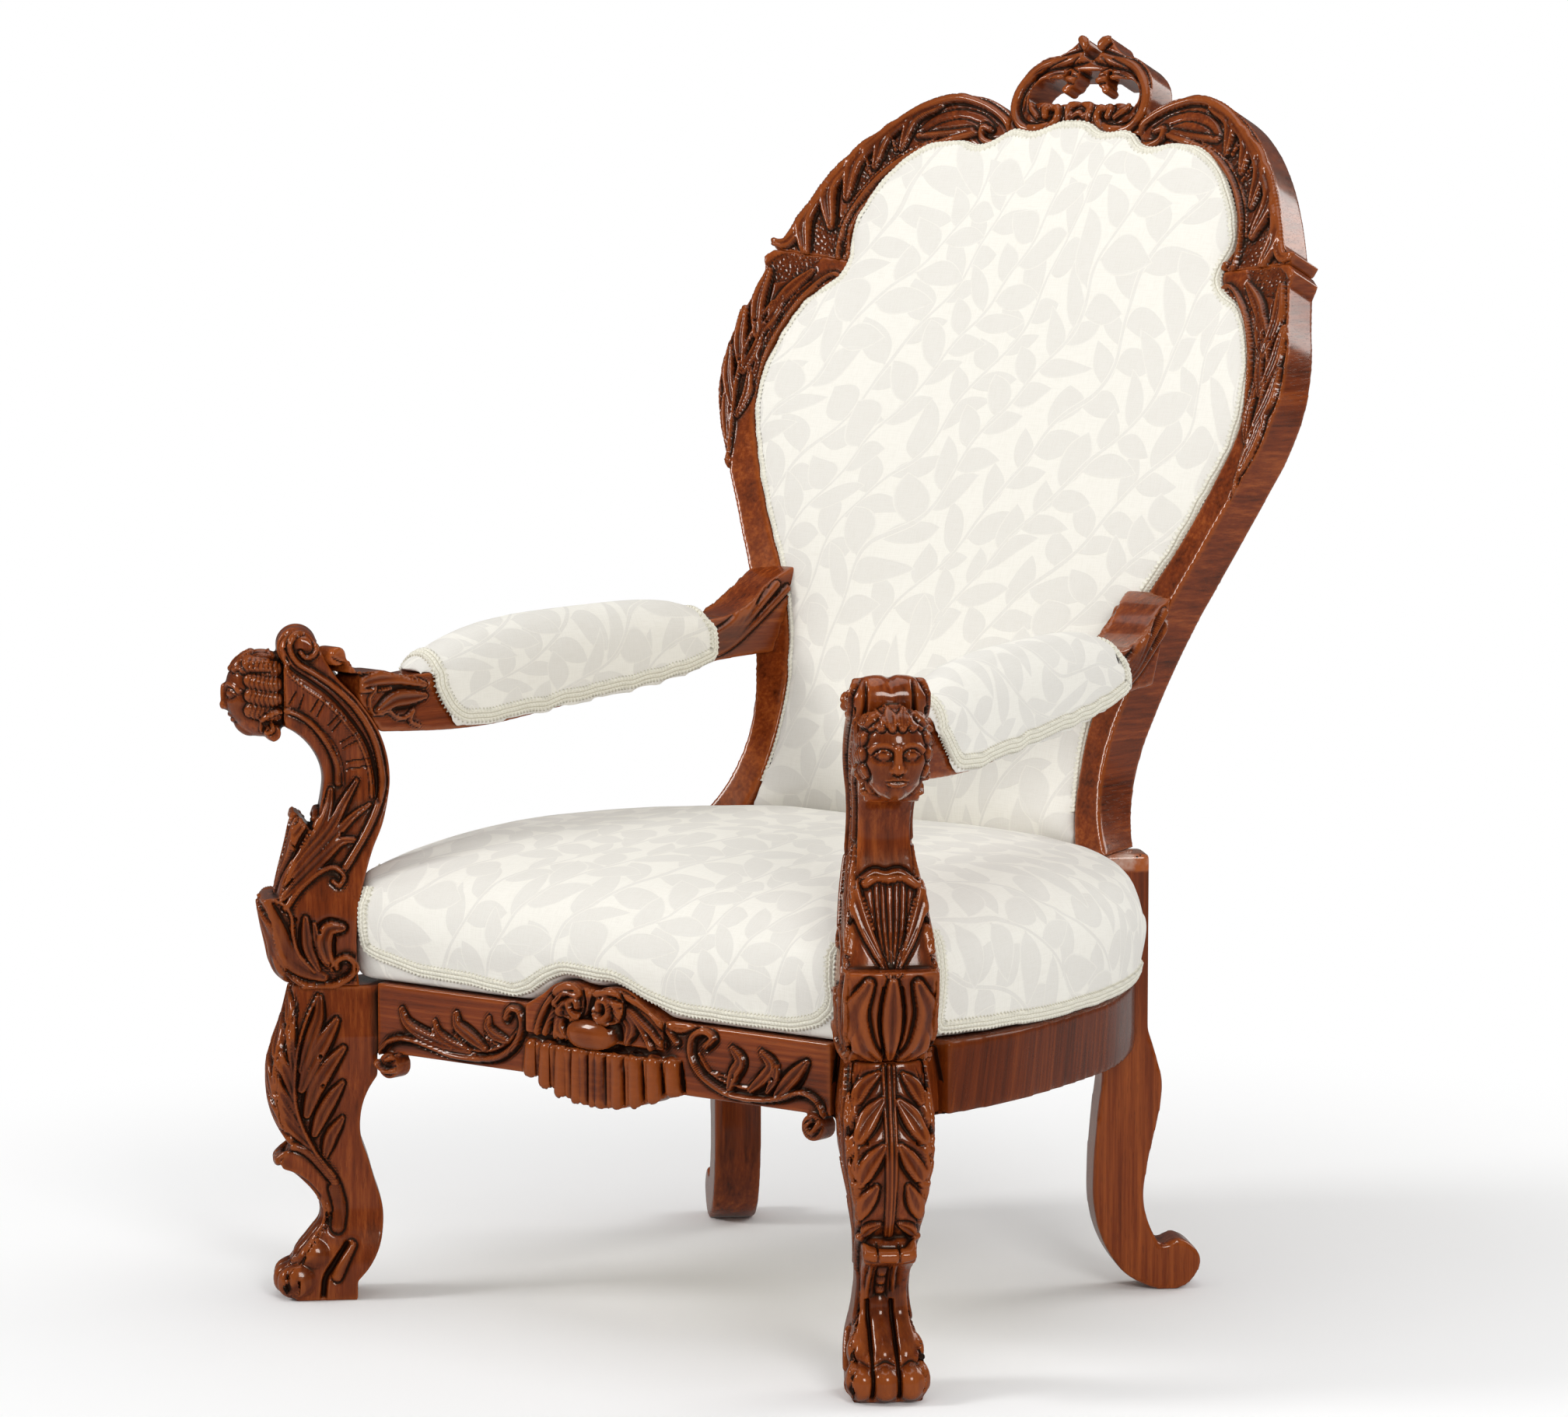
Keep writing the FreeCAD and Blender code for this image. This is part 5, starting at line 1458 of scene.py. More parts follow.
STILE = (
    Punched((288, 532), (36, 15), -0.5),
    *cuts(Cut.BEAD, 3.4, 3.2, ((290, 395), (291, 430), (287, 452), (279, 474), (268, 497), (250, 519),
          (238, 527), (231, 524), (236, 519))),
    *cuts(Cut.BEAD, 1.1, 1.2, ((299, 400), (299, 432), (294, 456), (286, 478), (275, 500), (262, 516))),
    *cuts(Cut.BEAD, 2.0, 3.0, ((303, 310), (309, 360), (315, 405), (314, 440), (306, 470), (296, 492))),
    *cuts(Cut.LOBE, 6, 3.2, ((308, 340), (318, 372), (324, 400))),
    *cuts(Cut.LOBE, 7, 3.6, ((313, 380), (325, 410), (330, 440))),
    *cuts(Cut.LOBE, 7.5, 3.8, ((313, 420), (322, 450), (324, 482))),
    *cuts(Cut.LOBE, 8, 4, ((305, 455), (312, 490), (308, 524))),
    *cuts(Cut.LOBE, 5, 3, ((306, 370), (301, 395), (304, 420))),
    *cuts(Cut.LOBE, 5.5, 3.2, ((311, 415), (303, 440), (300, 462))),
    *cuts(Cut.LOBE, 6, 3.4, ((303, 455), (292, 478), (286, 500))),
    *cuts(Cut.LOBE, 7, 3.4, ((296, 480), (282, 505), (262, 528))),
    *cuts(Cut.EYE, 1.8, 4, ((317, 428),), ((311, 470),), ((298, 470),)),
    *cuts(Cut.DROPS, 1.4, 2.2, ((318, 392), (320, 415)), ((306, 446), (298, 462))),
)

SUPPORT_SIDE = (
    *cuts(Cut.BEAD, 3.8, 3.2, ((-49, 410), (-65, 436), (-77, 460), (-84, 484), (-82, 508), (-75, 532),
          (-61, 556), (-42, 576), (-23, 590), (-6, 601), (1, 615), (-4, 626), (-15, 629), (-23, 621),
          (-23, 610), (-15, 605), (-9, 610))),
    *cuts(Cut.GROOVE, 2.2, 2.4, ((-80, 469), (-77, 498), (-70, 523), (-55, 547), (-37, 568), (-18, 583),
          (-2, 594), (5, 605))),
    *cuts(Cut.BEAD, 1.5, 1.6, ((-74, 474), (-72, 498), (-64, 523), (-50, 544), (-32, 563), (-13, 577),
          (1, 589), (7, 599))),
    *cuts(Cut.BEAD, 3.2, 3, ((-43, 487), (-42, 504), (-34, 523), (-20, 542), (-4, 553), (12, 556), (24, 551),
          (29, 543), (24, 535), (17, 537), (18, 544))),
    *cuts(Cut.BEAD, 1.2, 1, ((-48, 487), (-46, 504), (-39, 523), (-25, 539), (-11, 550), (1, 557))),
    *cuts(Cut.GROOVE, 0.9, 1.6, ((-5, 574), (2, 562)), ((-12, 571), (-7, 557)), ((-25, 566), (-18, 554)),
          ((-30, 562), (-24, 550)), ((-45, 553), (-34, 541)), ((-49, 549), (-38, 536)), ((-61, 534),
          (-45, 525)), ((-64, 528), (-48, 520)), ((-73, 510), (-51, 507)), ((-74, 503), (-51, 500))),
    *cuts(Cut.LOBE, 6.5, 3.5, ((18, 387), (12, 413), (0, 437), (-10, 451), (-8, 462))),
    *cuts(Cut.LOBE, 6, 3.2, ((9, 398), (-7, 419), (-25, 444), (-33, 463), (-36, 481))),
    *cuts(Cut.LOBE, 5.5, 4, ((9, 395), (-12, 420), (-34, 444), (-48, 469), (-60, 489)), ((-11, 363),
          (-12, 347), (-14, 333), (-23, 315))),
    *cuts(Cut.LOBE, 4.6, 3.2, ((-2, 401), (-21, 420), (-39, 439), (-56, 456), (-72, 467))),
    *cuts(Cut.LOBE, 6, 3.4, ((10, 382), (-9, 401), (-30, 421), (-44, 433), (-57, 435))),
    *cuts(Cut.BEAD, 3.4, 3.6, ((7, 373), (-7, 391), (-24, 405), (-38, 410), (-47, 402), (-43, 393),
          (-37, 397))),
    *cuts(Cut.DROPS, 1.6, 2.6, ((-7, 428), (-16, 443))),
    *cuts(Cut.DROPS, 1.5, 2.6, ((-26, 426), (-39, 436)), ((0, 358), (-2, 331))),
    *cuts(Cut.EYE, 2, 4, ((-18, 449),), ((-24, 350),)),
    *cuts(Cut.EYE, 1.8, 4, ((-46, 441),)),
    *cuts(Cut.LOBE, 11, 2.6, ((29, 382), (19, 355), (8, 331), (-10, 315), (-28, 307))),
    *cuts(Cut.BEAD, 4.2, 4, ((22, 333), (9, 311), (-11, 299), (-32, 298), (-51, 307), (-57, 317), (-50, 326),
          (-40, 323), (-40, 316))),
    *cuts(Cut.BEAD, 1.7, 3.6, ((26, 381), (10, 377), (2, 365), (1, 350), (-4, 331), (-19, 313))),
    *cuts(Cut.LOBE, 3.8, 3.4, ((-19, 358), (-22, 340), (-27, 325), (-35, 315))),
    *cuts(Cut.LOBE, 8, 5, ((-45, 354), (-33, 353), (-28, 342), (-30, 330), (-35, 320))),
    *cuts(Cut.DROPS, 1.4, 2.6, ((-22, 342), (-23, 327))),
    *cuts(Cut.EYE, 2, 3.5, ((-2, 362),)),
)
LEG_SIDE = (
    *cuts(Cut.BEAD, 2.3, 3.8, ((-36, 117), (-18, 142), (-6, 167), (0, 191), (0, 216), (-3, 241), (-11, 267),
          (-22, 290))),
    *cuts(Cut.LOBE, 6.5, 3.6, ((-6, 220), (-14, 247), (-22, 269), (-24, 288))),
    *cuts(Cut.LOBE, 8.5, 3.6, ((-6, 202), (-15, 226), (-27, 247), (-39, 266))),
    *cuts(Cut.LOBE, 8, 3.6, ((-11, 177), (-19, 202), (-31, 223), (-45, 240))),
    *cuts(Cut.LOBE, 7, 3.6, ((-18, 158), (-26, 178), (-35, 194), (-44, 207))),
    *cuts(Cut.LOBE, 6, 3.2, ((-28, 137), (-33, 155), (-39, 165), (-44, 173)), ((0, 193), (8, 218), (16, 237),
          (13, 262))),
    *cuts(Cut.LOBE, 4.5, 3, ((0, 212), (3, 237), (3, 268), (1, 296))),
    *cuts(Cut.LOBE, 6.5, 3.4, ((-4, 169), (8, 190), (19, 208), (21, 233)), ((-15, 146), (1, 163), (15, 181),
          (21, 202))),
    *cuts(Cut.DROPS, 1.6, 2.4, ((-11, 218), (-23, 231)), ((-15, 187), (-26, 201)), ((18, 231), (8, 215)),
          ((12, 196), (1, 177))),
    *cuts(Cut.DROPS, 1.5, 2.2, ((5, 261), (3, 236))),
    *cuts(Cut.EYE, 2.2, 4, ((-24, 233),), ((-26, 205),)),
    *cuts(Cut.EYE, 2, 4, ((17, 198),)),
    *cuts(Cut.BEAD, 4, 3, ((-37, 111), (-25, 126), (-13, 139), (0, 146), (13, 144), (17, 136))),
    *cuts(Cut.BEAD, 6, 2.2, ((-37, 105), (-41, 87), (-39, 69))),
    *cuts(Cut.GROOVE, 1.4, 3, ((-32, 81), (-26, 66), (-11, 56), (-8, 41), (5, 30), (8, 12))),
    *cuts(Cut.GROOVE, 3.6, 5, ((-48, 53), (-35, 35), (-27, 21), (-25, 3))),
    *cuts(Cut.SWELL, 13, 3, ((-17, 45), (-18, 44))),
    *cuts(Cut.SWELL, 15, 4.2, ((-1, 20), (-3, 19))),
    *cuts(Cut.BEAD, 5, 2.4, ((-51, 52), (-43, 35), (-38, 23))),
)
SUPPORT_FRONT = (
    *cuts(Cut.GROOVE, 2.4, 3, ((-22, 630), (-22, 601)), ((20, 629), (20, 601))),
    *cuts(Cut.LOBE, 6, 3, ((-29, 491), (-32, 459), (-22, 418), (-3, 378)), ((29, 490), (32, 458), (22, 417),
          (4, 378))),
    *cuts(Cut.BEAD, 4, 3.6, ((-20, 453), (-10, 459), (0, 457), (12, 459), (23, 452))),
    *cuts(Cut.GROOVE, 1.3, 2.2, ((-3, 377), (-11, 411), (-14, 452)), ((-2, 377), (-7, 416), (-8, 454)),
          ((0, 377), (-2, 415), (-3, 454)), ((1, 377), (3, 415), (4, 454)), ((3, 377), (8, 415), (10, 454)),
          ((4, 377), (13, 410), (16, 451))),
    *cuts(Cut.DROPS, 1.6, 2.4, ((-23, 442), (-14, 414)), ((23, 441), (15, 414))),
    *cuts(Cut.LOBE, 9, 3.6, ((0, 372), (0, 338), (0, 305))),
    *cuts(Cut.LOBE, 10, 4.2, ((-21, 371), (-31, 344), (-24, 317), (-9, 301)), ((22, 370), (31, 343),
          (24, 316), (10, 301))),
    *cuts(Cut.GROOVE, 1.5, 3, ((-8, 367), (-11, 336), (-6, 307)), ((8, 367), (11, 336), (6, 307))),
)
LEG_FRONT = (
    *cuts(Cut.BEAD, 1.5, 2.4, ((-5, 295), (-4, 224), (-3, 147)), ((4, 295), (4, 224), (2, 147))),
    *cuts(Cut.BEAD, 1.8, 3, ((0, 295), (0, 224), (0, 147))),
    *cuts(Cut.LOBE, 6, 3, ((-27, 265), (-21, 279), (-9, 289)), ((27, 264), (21, 278), (12, 288))),
    *cuts(Cut.LOBE, 8.5, 3.6, ((-27, 234), (-19, 251), (-7, 266)), ((28, 233), (19, 251), (8, 265))),
    *cuts(Cut.LOBE, 8, 3.6, ((-26, 196), (-19, 213), (-7, 228)), ((28, 195), (19, 212), (8, 228))),
    *cuts(Cut.LOBE, 7.5, 3.4, ((-28, 163), (-22, 178), (-13, 193)), ((29, 162), (22, 177), (15, 193))),
    *cuts(Cut.LOBE, 5, 3, ((-26, 144), (-18, 154), (-9, 159)), ((26, 143), (18, 153), (8, 159))),
    *cuts(Cut.BEAD, 1.3, 2, ((-30, 287), (-29, 214), (-31, 141)), ((31, 286), (31, 213), (30, 140))),
    *cuts(Cut.EYE, 2, 4, ((-21, 231),), ((24, 230),), ((-21, 195),), ((23, 196),)),
    *cuts(Cut.BEAD, 6, 2.5, ((-28, 138), (-16, 133), (-1, 131), (15, 132), (23, 138))),
    *cuts(Cut.GROOVE, 1.2, 2.5, ((-11, 141), (-11, 125)), ((8, 140), (8, 124))),
    *cuts(Cut.BEAD, 2, 2.2, ((-14, 122), (-15, 99), (-16, 82)), ((6, 121), (7, 98), (8, 81))),
    *cuts(Cut.DROPS, 4, 2.6, ((-4, 117), (-4, 88))),
    *cuts(Cut.SWELL, 11, 3.2, ((-23, 88), (-26, 50)), ((13, 86), (18, 50))),
    *cuts(Cut.SWELL, 10, 3.2, ((-4, 80), (-3, 48))),
    *cuts(Cut.SWELL, 12, 4.2, ((-27, 22), (-27, 14)), ((20, 22), (20, 14))),
    *cuts(Cut.SWELL, 11, 4.2, ((-3, 22), (-3, 13))),
    *cuts(Cut.GROOVE, 2.2, 4, ((-15, 84), (-14, 46), (-15, 3)), ((6, 84), (8, 46), (9, 2))),
    *cuts(Cut.GROOVE, 1.6, 1.6, ((-36, 33), (-27, 37), (-17, 33)), ((-11, 34), (-3, 37), (5, 34)), ((11, 33),
          (20, 37), (28, 33))),
)
SHOULDER = (
    Punched((262, 556), (30, 34), 0.3),
    Punched((232, 622), (12, 26), -0.7),
    Punched((206, 655), (9, 22), -0.9),
    *cuts(Cut.BEAD, 5.5, 3.4, ((236, 658), (195, 699), (152, 719), (116, 715), (85, 699), (76, 681),
          (91, 674), (107, 679), (109, 691), (99, 688))),
    *cuts(Cut.GROOVE, 1.3, 2, ((183, 686), (168, 701), (141, 709), (113, 705), (94, 693)), ((176, 680),
          (162, 692), (137, 699), (116, 695))),
    *cuts(Cut.BEAD, 3.6, 2.6, ((180, 678), (151, 682), (121, 687))),
    *cuts(Cut.LOBE, 7, 3.6, ((163, 711), (190, 696), (196, 662))),
    *cuts(Cut.LOBE, 8, 3.8, ((194, 695), (217, 677), (221, 642))),
    *cuts(Cut.LOBE, 9, 4, ((220, 678), (244, 647), (244, 607))),
    *cuts(Cut.LOBE, 10, 4, ((247, 649), (266, 616), (254, 576)), ((270, 618), (285, 582), (274, 544))),
    *cuts(Cut.LOBE, 7, 3.4, ((280, 595), (296, 556), (314, 554))),
    *cuts(Cut.BEAD, 3.4, 3.2, ((117, 684), (165, 669), (196, 650), (219, 624), (236, 590), (240, 562),
          (237, 543), (226, 542), (228, 550))),
    *cuts(Cut.BEAD, 1.1, 1.2, ((159, 677), (190, 661), (216, 637), (236, 606), (245, 577))),
    *cuts(Cut.EYE, 2, 4, ((208, 674),), ((228, 647),), ((256, 616),)),
    *cuts(Cut.DROPS, 1.5, 2.2, ((214, 682), (203, 662)), ((235, 654), (224, 634))),
)
CREST = (
    *cuts(Cut.BEAD, 6, 3, ((14, 785), (4, 771), (24, 764), (54, 757), (73, 737), (77, 713), (66, 694),
          (42, 691), (25, 701), (26, 713), (39, 713), (38, 704))),
    *cuts(Cut.BEAD, 3.4, 2.8, ((1, 734), (13, 742), (37, 745), (55, 733), (59, 716), (47, 703))),
    *cuts(Cut.BEAD, 3, 2.6, ((12, 702), (13, 716), (0, 721), (11, 713), (7, 705), (1, 709))),
    *cuts(Cut.GROOVE, 1.2, 2.4, ((28, 764), (54, 751), (66, 729), (67, 709))),
    *cuts(Cut.GROOVE, 1.2, 2, ((27, 754), (15, 765), (14, 766)), ((26, 758), (7, 749))),
)
RAIL_SHELL = cuts(Cut.SWELL, 10.0, 3.4, *(
    ((8 + 20.2 * k, 266 - abs(k)), (8 + 20.6 * k, 248), (8 + 21 * k, 219 + 1.1 * k * k)) for k in range(-4, 5)
)) + cuts(Cut.GROOVE, 1.8, 3.6, *(
    ((8 + 20.2 * k, 267), (8 + 20.8 * k, 242), (8 + 21 * k, 214)) for k in np.arange(-4.5, 5)
))
RAIL_LEAF = (
    *cuts(Cut.BEAD, 3.6, 3.4, ((-106, 286), (-101, 295), (-90, 293), (-87, 279), (-97, 261), (-118, 248),
          (-145, 244), (-174, 244), (-198, 249), (-222, 253), (-242, 252), (-257, 244), (-262, 230),
          (-250, 221), (-234, 227), (-239, 235), (-249, 232)), ((128, 285), (137, 293), (126, 298),
          (113, 291), (112, 273), (125, 257), (152, 245), (181, 243), (211, 247), (236, 255), (255, 248),
          (260, 234), (252, 222), (246, 227), (251, 231))),
    *cuts(Cut.BEAD, 1.4, 1.8, ((-93, 275), (-110, 260), (-133, 252), (-157, 252)), ((120, 277), (133, 262),
          (155, 254), (181, 252))),
    *cuts(Cut.LOBE, 6, 3.4, ((-173, 251), (-208, 259), (-228, 268), (-235, 281)), ((-133, 255), (-153, 265),
          (-166, 273), (-168, 284)), ((155, 250), (160, 264), (167, 276), (158, 286)), ((179, 251),
          (196, 266), (202, 276), (191, 286))),
    *cuts(Cut.LOBE, 4.5, 3, ((-151, 250), (-177, 256), (-190, 264), (-194, 274)), ((198, 251), (206, 264),
          (209, 276))),
    *cuts(Cut.LOBE, 5, 3.2, ((-105, 264), (-121, 268), (-129, 275), (-128, 284))),
    *cuts(Cut.LOBE, 3.8, 2.6, ((-145, 247), (-169, 247), (-189, 254), (-197, 265))),
    *cuts(Cut.DROPS, 1.3, 2, ((-171, 263), (-153, 253)), ((-133, 265), (-114, 258)), ((133, 262),
          (154, 259)), ((181, 251), (196, 264))),
    *cuts(Cut.EYE, 1.8, 3.5, ((-173, 266),), ((-130, 269),), ((159, 261),), ((203, 264),)),
    *cuts(Cut.LOBE, 7.5, 3.6, ((209, 250), (225, 266), (241, 282))),
)
RAIL_HEART = (
    *cuts(Cut.BEAD, 16, 4.4, ((-13, 283), (13, 283))),
    *cuts(Cut.BEAD, 3.2, 3, ((-2, 319), (-23, 325), (-45, 313), (-58, 296), (-65, 279))),
    *cuts(Cut.BEAD, 3, 3, ((-12, 317), (-27, 318), (-39, 307), (-49, 291), (-55, 279)), ((-19, 313),
          (-31, 307), (-38, 294), (-43, 276)), ((9, 320), (27, 324), (50, 317), (73, 305), (95, 284)),
          ((20, 318), (42, 311), (64, 296), (81, 281)), ((31, 313), (46, 306), (60, 292), (69, 278))),
    *cuts(Cut.BEAD, 4, 3.6, ((-4, 321), (-1, 310), (-8, 299), (-18, 301), (-22, 310), (-14, 313),
          (-12, 307)), ((2, 319), (5, 305), (15, 298), (25, 305), (23, 314), (14, 315), (13, 307))),
    *cuts(Cut.LOBE, 6, 3.4, ((-34, 302), (-39, 286), (-29, 274)), ((33, 308), (46, 295), (41, 279))),
    *cuts(Cut.LOBE, 5, 3, ((77, 304), (96, 298), (114, 301))),
    *cuts(Cut.DROPS, 1.4, 2.2, ((57, 303), (72, 293))),
    *cuts(Cut.EYE, 1.8, 3, ((-35, 306),), ((38, 311),)),
)
ARM_SIDE = (
    *cuts(Cut.BEAD, 3, 2.6, ((-85, 605), (-82, 619), (-74, 626), (-65, 622), (-64, 614), (-71, 613),
          (-72, 619))),
    *cuts(Cut.BEAD, 2.4, 2.4, ((-83, 606), (-74, 595), (-59, 589), (-42, 589), (-44, 576))),
    *cuts(Cut.LOBE, 7, 3, ((-44, 575), (-16, 583), (15, 582), (45, 574))),
    *cuts(Cut.GROOVE, 1.2, 2, ((-62, 607), (-34, 595), (-3, 590), (37, 579))),
    *cuts(Cut.BEAD, 2, 2.4, ((-43, 590), (-34, 582), (-44, 573), (-22, 573), (-14, 574), (-21, 564),
          (-16, 550), (2, 552)), ((2, 552), (12, 545), (23, 545), (31, 551), (27, 541), (38, 535))),
    *cuts(Cut.LOBE, 8, 3, ((-10, 554), (9, 562), (27, 563), (45, 563))),
    *cuts(Cut.DROPS, 1.4, 2, ((-34, 590), (-22, 590)), ((-10, 572), (6, 573))),
)


# Stuffed covers and their braid

def map_loops(mesh: bpy.types.Mesh, name: str, places: np.ndarray) -> None:
    """Gives a mesh a flat map.

    Args:
        mesh: The mesh.
        name: The map's name.
        places: Where each vertex lies on the map.
    """
    corners = np.empty(len(mesh.loops), dtype=np.int64)
    mesh.loops.foreach_get("vertex_index", corners)
    layer = mesh.uv_layers.new(name=name)
    layer.uv.foreach_set("vector", places[corners].astype(np.float32).ravel())


def outward(place: np.ndarray, reach: Point, middle: Point) -> np.ndarray:
    """Level directions that lead out of a rounded square.

    Args:
        place: Points.
        reach: Half sizes of the square.
        middle: Its middle.

    Returns:
        One unit direction each.
    """
    share = (place[:, :2] - middle) / reach
    way = share ** 3 / np.array(reach)
    return way / np.maximum(np.hypot(way[:, 0], way[:, 1]), 1e-9)[:, None]


@dataclass
class Cover:
    """One stuffed cover: its node, its squares, how full it is, and how it is held and mapped."""

    node: str
    voxel: float
    fill: float
    held: Callable[[Surface], np.ndarray]
    chart: Callable[[np.ndarray], np.ndarray]
    most: float = 0.005
    frames: int = 20

    def build(self, shop: Workshop) -> bpy.types.Object:
        """Stuffs the cover.

        Args:
            shop: The finishes.

        Returns:
            The piece.
        """
        surface = blank(self.node, self.voxel, 4)
        surface = self._settled(surface)
        rough = bpy.data.objects.new("rough", surface.mesh)
        bpy.context.scene.collection.objects.link(rough)
        finer = rough.modifiers.new("finer", "SUBSURF")
        finer.levels = finer.render_levels = 1
        mesh = evaluated(rough, self.node + "_cover")
        bpy.data.objects.remove(rough)
        map_loops(mesh, "cloth", self.chart(places_of(mesh)))
        piece = finish_piece(mesh, self.node + "_stuffed", shop.cloth, [self.node])
        return piece

    def _settled(self, surface: Surface) -> Surface:
        """Lets the stuffing press the cloth out, held at its nailed edges.

        Args:
            surface: The cover as cut.

        Returns:
            The cover as it settles.
        """
        start = surface.place.copy()
        piece = bpy.data.objects.new("settling", surface.mesh)
        scene = bpy.context.scene
        scene.collection.objects.link(piece)
        group = piece.vertex_groups.new(name="held")
        pins = self.held(surface)
        for number in np.nonzero(pins > 0)[0]:
            group.add([int(number)], float(pins[number]), "REPLACE")
        cloth = piece.modifiers.new("cloth", "CLOTH")
        cloth.point_cache.frame_end = self.frames
        settings = cloth.settings
        settings.quality = 4
        settings.mass = 0.3
        settings.tension_stiffness = settings.compression_stiffness = 25
        settings.shear_stiffness = 10
        settings.bending_stiffness = 4
        settings.use_pressure = True
        settings.uniform_pressure_force = 4
        settings.vertex_group_mass = "held"
        settings.effector_weights.gravity = 0
        for number in range(self.frames):
            scene.frame_set(number + 1)
        mesh = evaluated(piece, surface.mesh.name + "_settled")
        bpy.data.objects.remove(piece)
        settled = Surface(mesh)
        way = settled.place - start
        far = np.maximum(np.linalg.norm(way, axis=1), 1e-9)
        settled.place = start + way / far[:, None] * (self.most * np.tanh(far / self.most))[:, None]
        settled.smooth(1)
        scene.frame_set(1)
        return settled


@dataclass
class Gimp:
    """A scalloped braid of parallel cords, laid along a line on a cover."""

    width: float = 0.013
    height: float = 0.0032
    pitch: float = 0.0042
    cords: int = 3
    rows: int = 13
    wave: float = 0.3
    ripple: float = 0.12
    tuck: float = 0.5

    def lay(self, name: str, points: np.ndarray, normals: np.ndarray, closed: bool, shop: Workshop) -> None:
        """Lays one length.

        Args:
            name: The piece's name.
            points: The line's points.
            normals: The cover's direction at each.
            closed: Whether it meets its start.
            shop: The finishes.
        """
        points, normals = self._evenly(points, normals, closed)
        count = len(points)
        back = np.roll(points, 1, axis=0) if closed else np.vstack((points[:1], points[:-1]))
        ahead = np.roll(points, -1, axis=0) if closed else np.vstack((points[1:], points[-1:]))
        side = unit(np.cross(normals, unit(ahead - back)))
        bm = bmesh.new()
        stretches = count if closed else count - 1
        bmesh.ops.create_grid(bm, x_segments=stretches, y_segments=self.rows - 1, size=0.5)
        bm.verts.ensure_lookup_table()
        columns = count + 1 if closed else count
        phase = np.arange(columns) * math.tau / 3
        for vertex in bm.verts:
            i = min(columns - 1, int(round((vertex.co.x + 0.5) * (columns - 1))))
            share = 2 * round((vertex.co.y + 0.5) * (self.rows - 1)) / (self.rows - 1) - 1
            here = i % count
            scallop = 1 + self.wave * math.cos(phase[i])
            cord = abs(math.cos(math.pi * self.cords * (share + 1) / 2))
            tuck = self.tuck if abs(share) > 0.99 else 0
            lift = self.height * ((1 - share ** 4) * (1 - 0.5 * cord) - tuck)
            lift *= 1 + self.ripple * math.cos(phase[i] + share * 2)
            vertex.co = points[here] + side[here] * (share * self.width / 2 * scallop) + normals[here] * lift
        if closed:
            bmesh.ops.remove_doubles(bm, verts=bm.verts, dist=2e-6)
        bmesh.ops.recalc_face_normals(bm, faces=bm.faces)
        bm.verts.index_update()
        facing = sum((face.normal.dot(Vector(normals[count // 2])) for face in bm.faces
                      if (face.calc_center_median() - Vector(points[count // 2])).length < self.width), 0.0)
        if facing < 0:
            bmesh.ops.reverse_faces(bm, faces=bm.faces)
        mesh = bpy.data.meshes.new(name)
        bm.to_mesh(mesh)
        bm.free()
        run = np.arange(count) * (self.pitch / 3)
        places = places_of(mesh)
        near = nearest_rows(places, points)
        offset = ((places - points[near]) * side[near]).sum(axis=1)
        map_loops(mesh, "braid", np.stack((run[near], offset), axis=1))
        finish_piece(mesh, name, shop.braid, [])

    def _evenly(self, points: np.ndarray, normals: np.ndarray, closed: bool) -> tuple[np.ndarray, np.ndarray]:
        """Spreads a line's points evenly, three to a scallop.

        Args:
            points: The points.
            normals: Their directions.
            closed: Whether the line is closed.

        Returns:
            The even points and their directions.
        """
        if closed:
            points, normals = np.vstack((points, points[:1])), np.vstack((normals, normals[:1]))
        gaps = np.linalg.norm(np.diff(points, axis=0), axis=1)
        keep = np.concatenate(([True], gaps > 1e-6))
        points, normals = points[keep], normals[keep]
        run = np.concatenate(([0.0], np.cumsum(np.linalg.norm(np.diff(points, axis=0), axis=1))))
        count = 3 * max(2, int(round(run[-1] / self.pitch)))
        spots = np.linspace(0, run[-1], count + 1)
        if closed:
            spots = spots[:-1]
        even = np.stack([np.interp(spots, run, points[:, k]) for k in range(3)], axis=1)
        faces = np.stack([np.interp(spots, run, normals[:, k]) for k in range(3)], axis=1)
        return even, unit(faces)


def places_of(mesh: bpy.types.Mesh) -> np.ndarray:
    """Where a mesh's vertices are."""
    return np.array([v.co for v in mesh.vertices])


def unit(rows: np.ndarray) -> np.ndarray:
    """The same directions with a length of 1."""
    return rows / np.linalg.norm(rows, axis=1)[:, None]


def upright(x: float, y: float, levels: np.ndarray) -> np.ndarray:
    """The points of an upright line at some levels."""
    return np.stack((np.full(len(levels), x), np.full(len(levels), y), levels), axis=1)


def rim(flat: np.ndarray, middle: Point, count: int) -> np.ndarray:
    """The outermost of some flat points in each direction from a middle.

    Args:
        flat: The points.
        middle: The middle.
        count: How many directions there are.

    Returns:
        One point for each direction.
    """
    off = flat - middle
    turn = np.arctan2(off[:, 0], off[:, 1])
    box = ((turn + math.pi) / math.tau * count).astype(int) % count
    reach = np.zeros(count)
    np.maximum.at(reach, box, np.hypot(off[:, 0], off[:, 1]))
    angle = (np.arange(count) + 0.5) / count * math.tau - math.pi
    return np.stack((np.sin(angle), np.cos(angle)), axis=1) * reach[:, None] + middle


def tree_of(mesh: bpy.types.Mesh) -> BVHTree:
    """A search tree over a mesh's faces."""
    faces = [tuple(face.vertices) for face in mesh.polygons]
    return BVHTree.FromPolygons([v.co for v in mesh.vertices], faces)


